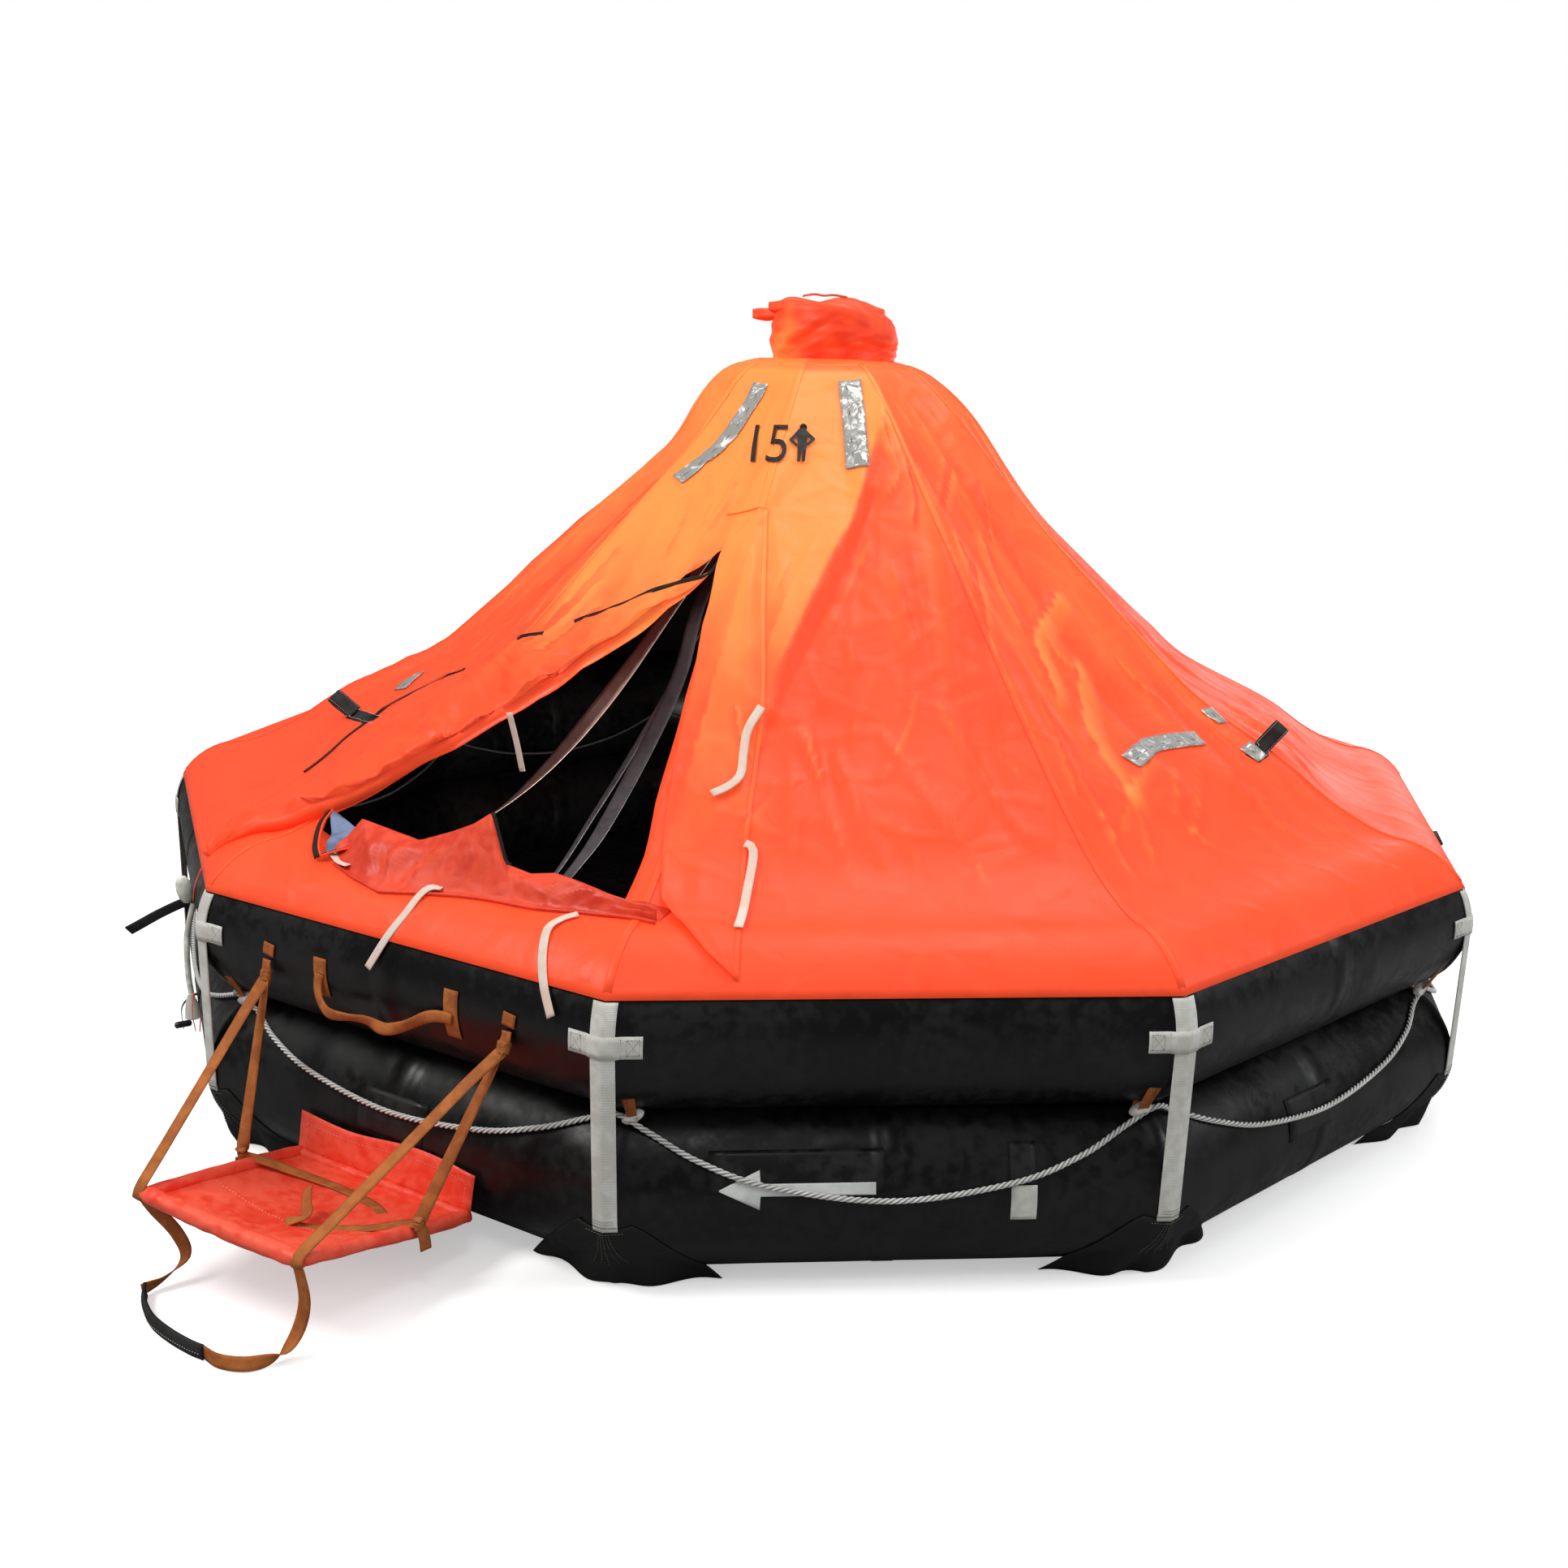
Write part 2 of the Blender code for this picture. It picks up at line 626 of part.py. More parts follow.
def make_door_flaps(side, mat):
    """The unzipped door cloth: folded back on the left, hanging right, heaped on the sill."""
    folded = [(6, -0.97, -0.87), (7, -0.97, -0.62), (8, -0.97, -0.32), (9, -0.62, 0.00),
              (10, -0.02, 0.38)]
    patch_on_panel("door_%d_folded_flap" % side, side, folded, 0.0013, 0.014, mat)
    hanging = [(2, -0.64, -0.585), (3, -0.76, -0.58), (4, -0.88, -0.585), (5, -0.97, -0.59),
               (6, -0.97, -0.60), (7, -0.97, -0.62), (8, -0.97, -0.65), (9, -0.97, -0.75),
               (10, -0.97, -0.85), (11, -0.97, -0.90)]
    patch_on_panel("door_%d_hanging_flap" % side, side + 1, hanging, 0.0009, 0.010, mat)
    base = UPPER_TUBE_Z + TUBE_RADIUS + CANOPY_THICKNESS + 0.0012
    heap = ((-0.330, 0.012, 0.020), (-0.290, 0.045, 0.034), (-0.160, 0.060, 0.040),
            (-0.020, 0.045, 0.036), (0.060, 0.058, 0.040), (0.160, 0.034, 0.034),
            (0.300, 0.026, 0.030), (0.420, 0.014, 0.022))
    sections = []
    for x, height, half in heap:
        section = []
        for turn in range(9):
            angle = math.pi * turn / 8
            section.append(turned(side, x, -1.492 - half - half * math.cos(angle),
                                  base + height * math.sin(angle)))
        sections.append(section)
    loft("door_%d_sill_flap" % side, sections, mat)


def make_ladder(side, mat):
    """Webbing ladder from the upper tube, its lower rungs laid out on the floor."""
    rail_path = [(0.002, 0.545), (0.002, 0.480), (0.018, 0.420), (0.018, 0.180), (0.034, 0.090),
                 (0.090, 0.014), (0.160, 0.0085), (LADDER_REACH - 1.670, 0.0085)]
    face = TUBE_APOTHEM + TUBE_RADIUS + GAP
    rails = []
    for sign in (-1, 1):
        spots = [turned(side, sign * LADDER_HALF_WIDTH, -face - off, z) for off, z in rail_path]
        rails.append(ribbon("ladder_rail_%d" % sign, spots, [along(side_azimuth(side))] * len(spots),
                            0.040, STRAP_THICKNESS, mat))
    reach = LADDER_HALF_WIDTH + 0.024
    rungs = []
    for i, (off, z, deep, tall) in enumerate(((0.018, 0.300, 0.007, 0.020),
                                              (0.030, 0.115, 0.007, 0.020),
                                              (0.200, 0.0085, 0.020, 0.007),
                                              (0.430, 0.0085, 0.020, 0.007))):
        low = (-reach, -face - off - deep, z - tall)
        high = (reach, -face - off + deep, z + tall)
        rungs.append(block("ladder_rung_%d" % i, side, low, high, mat))
    ladder = rails[0]
    ladder.name = "boarding_ladder"
    union(ladder, rungs + rails[1:])
    return ladder


def make_gas_cylinder(mat):
    """Inflation gas cylinder on the floor against the lower tube."""
    rest = CYLINDER_RADIUS + 0.001
    centres = (TUBE_RADIUS + CYLINDER_RADIUS) * FACET_SHRINK
    apothem = TUBE_APOTHEM + math.sqrt(centres ** 2 - (LOWER_TUBE_Z - rest) ** 2)
    half, radius = CYLINDER_LENGTH / 2, CYLINDER_RADIUS
    outline = [(-half, 0.0), (-half, radius * 0.55), (-half + 0.020, radius * 0.90),
               (-half + 0.050, radius), (half - 0.110, radius), (half - 0.075, radius * 0.85),
               (half - 0.055, radius * 0.40), (half - 0.050, 0.016), (half, 0.016), (half, 0.0)]
    azimuth = side_azimuth(CYLINDER_SIDE)
    bm = bmesh.new()
    verts = [bm.verts.new((r, 0, h)) for h, r in outline]
    edges = [bm.edges.new(pair) for pair in zip(verts, verts[1:])]
    bmesh.ops.spin(bm, geom=verts + edges, axis=(0, 0, 1), cent=(0, 0, 0), steps=24,
                   angle=2 * math.pi, use_duplicate=False)
    bmesh.ops.remove_doubles(bm, verts=bm.verts[:], dist=1e-5)
    lay = Matrix.Rotation(azimuth, 4, "Z") @ Matrix.Rotation(math.pi / 2, 4, "Y")
    spot = outward(azimuth) * apothem + Vector((0, 0, rest))
    bmesh.ops.transform(bm, matrix=Matrix.Translation(spot) @ lay, verts=bm.verts[:])
    return add_object("gas_cylinder", bm, mat)


def rod(name, start, end, radius, mat, segments=12):
    """Straight round bar between two points."""
    bm = bmesh.new()
    span = end - start
    turn = span.to_track_quat("Z", "Y").to_matrix().to_4x4()
    place = Matrix.Translation((start + end) / 2) @ turn
    bmesh.ops.create_cone(bm, cap_ends=True, segments=segments, radius1=radius, radius2=radius,
                          depth=span.length, matrix=place)
    return add_object(name, bm, mat)


def main():
    clear_scene()
    rubber = material("black_rubberised_fabric", BLACK, 0.45)
    orange = material("orange_canopy_fabric", ORANGE, 0.5)
    webbing = material("white_webbing", WHITE, 0.7)
    tan = material("tan_webbing", TAN, 0.8)
    rope = material("white_rope", WHITE, 0.7)
    red = material("red_tray_fabric", RED, 0.6)
    grey = material("grey_painted_steel", GREY, 0.4)

    contact = (LOWER_TUBE_Z + UPPER_TUBE_Z) / 2
    crown = UPPER_TUBE_Z + TUBE_RADIUS
    make_tube("lower_tube", LOWER_TUBE_Z, 0.0, contact - GAP / 2, rubber)
    make_tube("upper_tube", UPPER_TUBE_Z, contact + GAP / 2, crown, rubber)
    make_floor(rubber)
    make_canopy(orange)
    make_chimney(orange)
    make_bridle(webbing)
    for corner in range(SIDES):
        make_corner_strap(corner, webbing)
        make_ballast_pocket(corner, rubber)
    make_lifelines(rope)
    make_ramp(red, tan)
    make_grab_handle(0, tan)
    make_grab_handle(SIDES // 2, tan)
    make_door_flaps(0, orange)
    make_door_flaps(SIDES // 2, orange)
    make_ladder(SIDES // 2, tan)
    make_gas_cylinder(grey)


main()
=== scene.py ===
"""Looks of a ten-sided inflatable life raft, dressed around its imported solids.

Metres, +Z up, the origin under the raft's middle.  Side 0 has the boarding ramp
and faces -Y; sides are numbered towards +X, and corner k lies before side k.
A place on the raft is given by its side, its apothem (the distance out from the
middle along that side's normal), its run along the side and its height.
"""
import math
import random
from contextlib import contextmanager

import bmesh
import bpy
from mathutils import Matrix, Vector, noise


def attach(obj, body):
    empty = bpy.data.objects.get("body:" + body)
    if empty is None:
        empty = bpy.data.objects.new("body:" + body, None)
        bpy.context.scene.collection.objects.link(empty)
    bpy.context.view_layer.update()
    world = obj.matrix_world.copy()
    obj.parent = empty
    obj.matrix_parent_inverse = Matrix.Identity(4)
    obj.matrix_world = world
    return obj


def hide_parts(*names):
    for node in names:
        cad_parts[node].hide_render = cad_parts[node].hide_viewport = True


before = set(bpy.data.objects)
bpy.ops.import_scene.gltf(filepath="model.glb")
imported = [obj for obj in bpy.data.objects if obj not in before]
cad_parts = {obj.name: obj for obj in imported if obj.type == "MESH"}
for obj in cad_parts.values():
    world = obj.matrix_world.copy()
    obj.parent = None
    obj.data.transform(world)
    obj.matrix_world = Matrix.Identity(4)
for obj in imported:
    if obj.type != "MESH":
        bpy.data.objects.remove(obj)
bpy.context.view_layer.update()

# Hull, repeated from the solids
SIDES = 10
HALF_STEP = math.pi / SIDES
COS_HALF = math.cos(HALF_STEP)
TAN_HALF = math.tan(HALF_STEP)
TUBE_RADIUS = 0.18
TUBE_APOTHEM = 1.49
LOWER_TUBE_Z = 0.178
UPPER_TUBE_Z = 0.511
RAMP_SIDE = 0
LADDER_SIDE = 5

# Cover: apothem and height of its outside on a ridge, inward from the tube
CANOPY_EDGE_ANGLE = 60
CANOPY_LIFT = 0.0048
CANOPY_RISE = [
    (1.430, 0.716), (1.330, 0.772), (1.200, 0.878), (1.066, 1.000), (0.945, 1.112),
    (0.824, 1.226), (0.697, 1.344), (0.569, 1.462), (0.401, 1.615), (0.285, 1.700),
    (0.225, 1.728), (0.172, 1.742), (0.147, 1.742),
]
SIDE_HOLLOW = 0.13
COVER_THICKNESS = 0.0016
PANEL_SAG = 0.030
COVER_COLUMNS = (62, 70, 62, 48, 34, 34, 34, 34, 38, 54)
COVER_ROWS = 104

# Doorway outline on its panel: apothem and the share of the panel's half width
DOOR_OUTLINE = [
    (0.735, 0.72), (1.000, 0.80), (1.200, 0.86), (1.330, 0.90), (1.452, 0.90),
    (1.462, 0.84), (1.470, 0.20), (1.470, -0.62), (1.440, -0.86), (1.400, -0.94),
    (1.283, -0.77), (1.191, -0.62), (1.123, -0.54), (1.044, -0.41), (0.957, -0.22),
    (0.898, -0.01), (0.827, 0.24), (0.750, 0.60),
]

# Webbing and lines
STRAP_WIDTH = 0.050
WEBBING_THICKNESS = 0.0024
KEEPER_LENGTH = 0.150
KEEPER_WIDTH = 0.042
KEEPER_Z = 0.520
ROPE_DIAMETER = 0.012
ROPE_APOTHEM = 1.600
ROPE_CORNER_Z = 0.356
ROPE_SAGS = (0.114, 0.150, 0.127, 0.142, 0.120, 0.136, 0.125, 0.146, 0.132, 0.120)
INNER_ROPE_DIAMETER = 0.010
INNER_ROPE_Z = 0.511
INNER_ROPE_SAGS = (0.085, 0.070, 0.095, 0.080, 0.090, 0.075, 0.085, 0.095, 0.070, 0.090)
ROPE_FIRST_SIDE = 6
SWAG_SHARES = (0.06, 0.15, 0.28, 0.50, 0.72, 0.85, 0.94)
CHORD_CLEARANCE = 0.0022

# Boarding ramp
RAMP_HANGER = Vector((0.325, -1.6691, 0.505))
TRAY_INNER = (-1.700, 0.098)
TRAY_OUTER = (-2.090, 0.190)
TRAY_INNER_HALF = 0.235
TRAY_OUTER_HALF = 0.205
TRAY_FLAP_HEIGHT = 0.080
RAMP_WEBBING_WIDTH = 0.026


# Places

def outward(azimuth):
    """Unit vector at an azimuth from -Y towards +X."""
    return Vector((math.sin(azimuth), -math.cos(azimuth), 0))


def along(azimuth):
    """Unit vector along a side, towards the next corner."""
    return Vector((math.cos(azimuth), math.sin(azimuth), 0))


def side_azimuth(side):
    return 2 * HALF_STEP * side


def corner_azimuth(corner):
    return 2 * HALF_STEP * corner - HALF_STEP


def on_side(side, apothem, run, z):
    """Point at an apothem, a run along the side and a height."""
    azimuth = side_azimuth(side)
    spot = outward(azimuth) * apothem + along(azimuth) * run
    spot.z = z
    return spot


def side_path(side, places):
    """Points on a side from their apothems, runs and heights."""
    return [on_side(side, *place) for place in places]


def on_tube(side, centre_z, angle, run, lift=0.0):
    """Point on a tube's skin, the angle running outward from its top."""
    radius = TUBE_RADIUS + lift
    return on_side(side, TUBE_APOTHEM + radius * math.sin(angle), run,
                   centre_z + radius * math.cos(angle))


def tube_angle(centre_z, z):
    """Angle from the tube's top at which its outer face has this height."""
    return math.acos((z - centre_z) / TUBE_RADIUS)


def eased(x):
    x = min(max(x, 0.0), 1.0)
    return x * x * (3 - 2 * x)


def curve_spot(a, b, c, d, t):
    """Point of a Catmull-Rom curve between b and c."""
    return 0.5 * ((2 * b) + (c - a) * t + (2 * a - 5 * b + 4 * c - d) * t * t
                  + (3 * b - a - 3 * c + d) * t ** 3)


def smooth_paths(points, others, step):
    """Evenly spaced points on a smooth curve, with a second list of vectors carried along."""
    points, others = [Vector(p) for p in points], [Vector(p) for p in others]
    ends = [points[0] * 2 - points[1]] + points + [points[-1] * 2 - points[-2]]
    carried = [others[0]] + others + [others[-1]]
    fine, extra = [points[0]], [others[0]]
    for i in range(1, len(ends) - 2):
        parts = max(int((ends[i + 1] - ends[i]).length / (step * 0.25)), 4)
        for k in range(1, parts + 1):
            fine.append(curve_spot(*ends[i - 1:i + 3], k / parts))
            extra.append(curve_spot(*carried[i - 1:i + 3], k / parts))
    lengths = [0.0]
    for a, b in zip(fine, fine[1:]):
        lengths.append(lengths[-1] + (b - a).length)
    count = max(int(round(lengths[-1] / step)), 2)
    even, even_extra, j = [], [], 0
    for i in range(count + 1):
        want = lengths[-1] * i / count
        while j < len(lengths) - 2 and lengths[j + 1] < want:
            j += 1
        span = lengths[j + 1] - lengths[j]
        share = (want - lengths[j]) / span if span else 0
        even.append(fine[j].lerp(fine[j + 1], share))
        even_extra.append(extra[j].lerp(extra[j + 1], share))
    return even, even_extra


def smooth_path(points, step):
    return smooth_paths(points, points, step)[0]


def at_share(path, share):
    """Point at a share of a polyline's length."""
    want = share * path_length(path)
    for a, b in zip(path, path[1:]):
        span = (b - a).length
        if want <= span:
            return a.lerp(b, want / span if span else 0)
        want -= span
    return path[-1].copy()


def path_length(points):
    return sum((b - a).length for a, b in zip(points, points[1:]))


# Shader nodes

class Nodes:
    """Short calls for the shader nodes that these finishes use, in one tree."""

    def __init__(self, tree):
        self.tree = tree

    def put(self, socket, value):
        """A socket's value, either its own or linked from another node's output."""
        if isinstance(value, bpy.types.NodeSocket):
            self.tree.links.new(value, socket)
        else:
            socket.default_value = value

    def add(self, kind, inputs=None, **settings):
        made = self.tree.nodes.new("ShaderNode" + kind)
        for key, value in settings.items():
            setattr(made, key, value)
        for key, value in (inputs or {}).items():
            self.put(made.inputs[key], value)
        return made

    def maths(self, operation, a, b=0.0, c=0.0):
        return self.add("Math", {0: a, 1: b, 2: c}, operation=operation).outputs[0]

    def near(self, value, middle, half):
        """One within half of the middle value, else nought."""
        away = self.maths("ABSOLUTE", self.maths("SUBTRACT", value, middle))
        return self.maths("LESS_THAN", away, half)

    def ramp(self, value, low, high, to_low=0.0, to_high=1.0):
        """Value mapped and clamped from one range to another."""
        return self.add("MapRange", {"Value": value, "From Min": low, "From Max": high,
                                     "To Min": to_low, "To Max": to_high},
                        interpolation_type="SMOOTHSTEP").outputs[0]

    def mixed(self, factor, a, b):
        """Colour between a and b."""
        return self.add("Mix", {0: factor, 6: a, 7: b}, data_type="RGBA").outputs[2]

    def noise(self, place, scale, detail, **more):
        return self.add("TexNoise", {"Vector": place, "Scale": scale, "Detail": detail,
                                     **more}).outputs["Fac"]


def new_group(name, inputs, outputs):
    """Node group of named number sockets and a Vector: its nodes, inputs and outputs."""
    tree = bpy.data.node_groups.new(name, "ShaderNodeTree")
    tree.interface.new_socket(name="Vector", in_out="INPUT", socket_type="NodeSocketVector")
    for label, value in inputs.items():
        tree.interface.new_socket(name=label, in_out="INPUT",
                                  socket_type="NodeSocketFloat").default_value = value
    for label in outputs:
        tree.interface.new_socket(name=label, in_out="OUTPUT", socket_type="NodeSocketFloat")
    return (Nodes(tree), tree.nodes.new("NodeGroupInput").outputs,
            tree.nodes.new("NodeGroupOutput").inputs)


def crumple_group():
    """Sharp shallow creases of handled cloth, with a soft swell under them, as a height."""
    nodes, given, out = new_group("crumpled_cloth", {"Size": 6.0, "Sharpness": 0.5}, ["Height"])
    wander = nodes.add("TexNoise", {"Vector": given["Vector"], "Scale": 3.0, "Detail": 2.0})
    shift = nodes.add("VectorMath", {0: wander.outputs["Color"], 1: (0.12, 0.12, 0.12)},
                      operation="MULTIPLY")
    moved = nodes.add("VectorMath", {0: given["Vector"], 1: shift.outputs[0]},
                      operation="ADD").outputs[0]
    cells = nodes.add("TexVoronoi", {"Vector": moved, "Scale": given["Size"]},
                      feature="DISTANCE_TO_EDGE")
    fold = nodes.ramp(cells.outputs["Distance"], 0.0, 0.22, 1.0, 0.0)
    swell = nodes.noise(moved, given["Size"], 4.0, Roughness=0.55)
    nodes.put(out["Height"], nodes.maths("MULTIPLY_ADD", fold, given["Sharpness"], swell))
    return nodes.tree


def weave_group():
    """Ribbed webbing, its place being the piece's own UV map in metres: height, and the painted
    shade of its grooves.
    """
    nodes, given, out = new_group(
        "ribbed_weave", {"Across": 0.0020, "Along": 0.0032, "Width": 0.05},
        ["Height", "Shade", "Edge"])
    split = nodes.add("SeparateXYZ", {0: given["Vector"]}).outputs
    warp, rib = [nodes.maths("ABSOLUTE", nodes.maths("SINE", nodes.maths(
        "MULTIPLY", nodes.maths("DIVIDE", split[i], given[pitch]), math.pi)))
        for i, pitch in enumerate(("Across", "Along"))]
    height = nodes.maths("ADD", rib, nodes.maths("MULTIPLY", warp, 0.45))
    nodes.put(out["Height"], height)
    # Painted shade: the grooves between the ribs are given a darker tone.
    nodes.put(out["Shade"], nodes.ramp(height, 0.2, 1.3, 0.72, 1.0))
    half = nodes.maths("MULTIPLY", given["Width"], 0.5)
    away = nodes.maths("ABSOLUTE", nodes.maths("SUBTRACT", split[0], half))
    nodes.put(out["Edge"], nodes.ramp(nodes.maths("DIVIDE", away, half), 0.86, 0.96))
    return nodes.tree


def grime_group():
    """Soft irregular patches, such as dust or handling, as a mask."""
    nodes, given, out = new_group("handling_marks", {"Size": 2.0, "Spread": 0.5}, ["Mask"])
    cloud = nodes.noise(given["Vector"], given["Size"], 6.0, Roughness=0.62)
    fine = nodes.noise(given["Vector"], 38.0, 3.0)
    both = nodes.maths("MULTIPLY", cloud, nodes.ramp(fine, 0.3, 0.7, 0.7, 1.1))
    high = nodes.maths("SUBTRACT", 1.0, given["Spread"])
    mask = nodes.add("MapRange", {"Value": both, "From Min": nodes.maths("SUBTRACT", high, 0.18),
                                  "From Max": high})
    nodes.put(out["Mask"], mask.outputs[0])
    return nodes.tree


CRUMPLE, WEAVE, GRIME = crumple_group(), weave_group(), grime_group()


class Finish(Nodes):
    """A material's nodes, with its shader's inputs and the piece's own coordinates."""

    def __init__(self, name, roughness, specular=0.5, metallic=0.0):
        self.material = bpy.data.materials.new(name)
        self.material.use_nodes = True
        super().__init__(self.material.node_tree)
        self.inputs = self.tree.nodes["Principled BSDF"].inputs
        self.inputs["Roughness"].default_value = roughness
        self.inputs["Specular IOR Level"].default_value = specular
        self.inputs["Metallic"].default_value = metallic
        self.place = self.add("TexCoord").outputs["Object"]

    def colour(self, value):
        self.put(self.inputs["Base Color"], value)

    def rough(self, value):
        self.put(self.inputs["Roughness"], value)

    def marks(self, size, spread=0.5):
        return self.add("Group", {"Vector": self.place, "Size": size, "Spread": spread},
                        node_tree=GRIME).outputs["Mask"]

    def creases(self, size, sharpness):
        return self.add("Group", {"Vector": self.place, "Size": size, "Sharpness": sharpness},
                        node_tree=CRUMPLE).outputs["Height"]

    def grained(self, height, scale, depth=0.03):
        """A height with a fine grain added."""
        grain = self.noise(self.place, scale, 1.0)
        return self.maths("ADD", height, self.maths("MULTIPLY", grain, depth))

    def bump(self, height, strength, distance):
        made = self.add("Bump", {"Height": height, "Strength": strength, "Distance": distance})
        self.put(self.inputs["Normal"], made.outputs[0])
        return self.material


# Darker copy of a colour, for painted shade in grooves.
def groove_shade(colour, share):
    return tuple(part * share for part in colour)


def rubber_material():
    """Black rubber-coated tube cloth: near black, satin, with dusty handling marks."""
    paint = Finish("tube_rubber", 0.4, 0.30)
    dust = paint.marks(2.6, 0.44)
    paint.colour(paint.mixed(dust, (0.0036, 0.0036, 0.0036, 1), (0.010, 0.0102, 0.0105, 1)))
    streak = paint.ramp(paint.noise(paint.place, 9.0, 5.0), 0.3, 0.7, 0.28, 0.42)
    paint.rough(paint.maths("ADD", streak, paint.maths("MULTIPLY", dust, 0.16)))
    return paint.bump(paint.grained(paint.creases(7.0, 0.25), 900.0), 0.30, 0.006)


def patch_material():
    """Plain black rubber patch, a little smoother than the tube's cloth."""
    paint = Finish("rubber_patch", 0.42, 0.36)
    marks = paint.marks(7.0, 0.45)
    paint.colour(paint.mixed(marks, (0.0050, 0.0051, 0.0053, 1), (0.014, 0.0142, 0.0146, 1)))
    paint.rough(paint.ramp(marks, 0.0, 1.0, 0.38, 0.58))
    return paint.material


def cover_material():
    """Orange coated cover cloth with painted light: paler and yellower where daylight comes through
    it, and a faint painted glow.
    """
    paint = Finish("cover_cloth", 0.44, 0.20)
    lit = paint.add("Attribute", attribute_name="daylight").outputs["Fac"]
    # The daylight attribute is painted light and shade; cloud noise and creases add paler and
    # darker painted streaks to it.
    cloud = paint.noise(paint.place, 4.5, 5.0, Roughness=0.6)
    creases = paint.creases(8.0, 0.35)
    for effect, middle, share in ((cloud, 0.5, 0.24), (creases, 0.6, 0.14)):
        away = paint.maths("SUBTRACT", effect, middle)
        lit = paint.maths("ADD", lit, paint.maths("MULTIPLY", away, share))
    # Painted-shade, plain and painted-daylight copies of the orange, mixed by the painted light.
    deep, orange, daylit_amber = (0.80, 0.046, 0.014, 1), (0.90, 0.074, 0.022, 1), (0.96, 0.250, 0.054, 1)
    tint = paint.mixed(paint.ramp(lit, -0.25, 0.05), deep, orange)
    tint = paint.mixed(paint.ramp(lit, 0.05, 1.0), tint, daylit_amber)
    paint.colour(tint)
    # Painted glow: the cloth's colour is also emitted faintly, lifting its shaded parts.
    paint.put(paint.inputs["Emission Color"], tint)
    paint.inputs["Emission Strength"].default_value = 0.20
    paint.rough(paint.ramp(cloud, 0.3, 0.7, 0.36, 0.52))
    return paint.bump(paint.grained(creases, 700.0), 0.50, 0.008)


def lining_material():
    """Inside of the cover: dark brown-red, since little light comes through from outside."""
    paint = Finish("cover_lining", 0.7, 0.2)
    height = paint.add("SeparateXYZ", {0: paint.place}).outputs[2]
    cloud = paint.ramp(paint.noise(paint.place, 3.0, 5.0), 0.35, 0.65, 0.4, 1.0)
    lit = paint.maths("MULTIPLY", paint.ramp(height, 1.00, 1.22), cloud)
    paint.colour(paint.mixed(lit, (0.006, 0.003, 0.003, 1), (0.16, 0.014, 0.010, 1)))
    return paint.bump(paint.creases(8.0, 0.4), 0.5, 0.01)


def cloth_material(name, base, worn, roughness=0.55, size=12.0):
    """Coated cloth of one colour with soft creases and slight fading."""
    paint = Finish(name, roughness, 0.4)
    marks = paint.marks(5.0)
    paint.colour(paint.mixed(marks, (*base, 1), (*worn, 1)))
    paint.rough(paint.ramp(marks, 0.0, 1.0, roughness - 0.06, roughness + 0.10))
    return paint.bump(paint.creases(size, 0.45), 0.45, 0.006)


def webbing_material(name, base, worn, width):
    """Woven strap with its ribs, painted shade in the grooves between them, raised selvedge and
    slight soiling.
    """
    paint = Finish(name, 0.75, 0.3)
    weave = paint.add("Group", {"Vector": paint.add("UVMap", uv_map="metres").outputs[0],
                                "Width": width}, node_tree=WEAVE).outputs
    tint = paint.mixed(paint.marks(9.0), (*base, 1), (*worn, 1))
    # Painted shade: the weave's grooves darken towards a dimmed copy of the base.
    paint.colour(paint.mixed(weave["Shade"], (*groove_shade(base, 0.45), 1), tint))
    paint.rough(paint.ramp(weave["Edge"], 0.0, 1.0, 0.75, 0.63))
    height = paint.maths("ADD", weave["Height"], paint.maths("MULTIPLY", weave["Edge"], 0.8))
    return paint.bump(height, 0.6, 0.0006)


def rope_material(name, base, worn):
    """Laid or braided line: pale fibre, with painted shade in the grooves between its strands."""
    paint = Finish(name, 0.62, 0.35)
    groove = paint.add("Attribute", attribute_name="groove").outputs["Fac"]
    fibre = paint.noise(paint.place, 420.0, 2.0)
    tint = paint.mixed(paint.marks(6.0), (*base, 1), (*worn, 1))
    # Painted shade where the groove attribute is deep.
    paint.colour(paint.mixed(groove, tint, (*groove_shade(base, 0.30), 1)))
    paint.rough(paint.ramp(fibre, 0.3, 0.7, 0.55, 0.75))
    return paint.bump(fibre, 0.4, 0.0006)


def tape_material():
    """Silver retro-reflective tape, creased into facets, with painted bright glints on its crinkles
    and small printed ticks.
    """
    paint = Finish("reflective_tape", 0.3, 0.5, 0.35)
    facets = paint.add("TexVoronoi", {"Vector": paint.place, "Scale": 26.0},
                       feature="DISTANCE_TO_EDGE")
    crinkle = paint.noise(paint.place, 17.0, 3.0, Distortion=1.6)
    # Painted highlights: patches picked by the crinkle noise are made bright.
    tint = paint.mixed(paint.ramp(crinkle, 0.60, 0.66), (0.42, 0.42, 0.40, 1),
                       (0.95, 0.96, 0.95, 1))
    spot = paint.add("SeparateXYZ", {0: paint.add("UVMap", uv_map="metres").outputs[0]}).outputs
    bar = paint.near(paint.maths("MODULO", spot[1], 0.048), 0.024, 0.0085)
    line = paint.near(spot[0], 0.020, 0.0011)
    paint.colour(paint.mixed(paint.maths("MULTIPLY", bar, line), tint, (0.10, 0.10, 0.10, 1)))
    paint.rough(paint.ramp(crinkle, 0.35, 0.65, 0.20, 0.40))
    return paint.bump(paint.maths("ADD", facets.outputs["Distance"], crinkle), 0.7, 0.008)


def plastic_material(name, base, roughness, metallic=0.0):
    """Moulded plastic or painted metal with fine grain and scuffs."""
    paint = Finish(name, roughness, 0.5, metallic)
    scuff = paint.marks(14.0, 0.42)
    worn = tuple(min(part * 1.5 + 0.02, 1.0) for part in base)
    paint.colour(paint.mixed(scuff, (*base, 1), (*worn, 1)))
    paint.rough(paint.ramp(scuff, 0.0, 1.0, roughness, roughness + 0.15))
    return paint.bump(paint.noise(paint.place, 320.0, 2.0), 0.25, 0.0008)


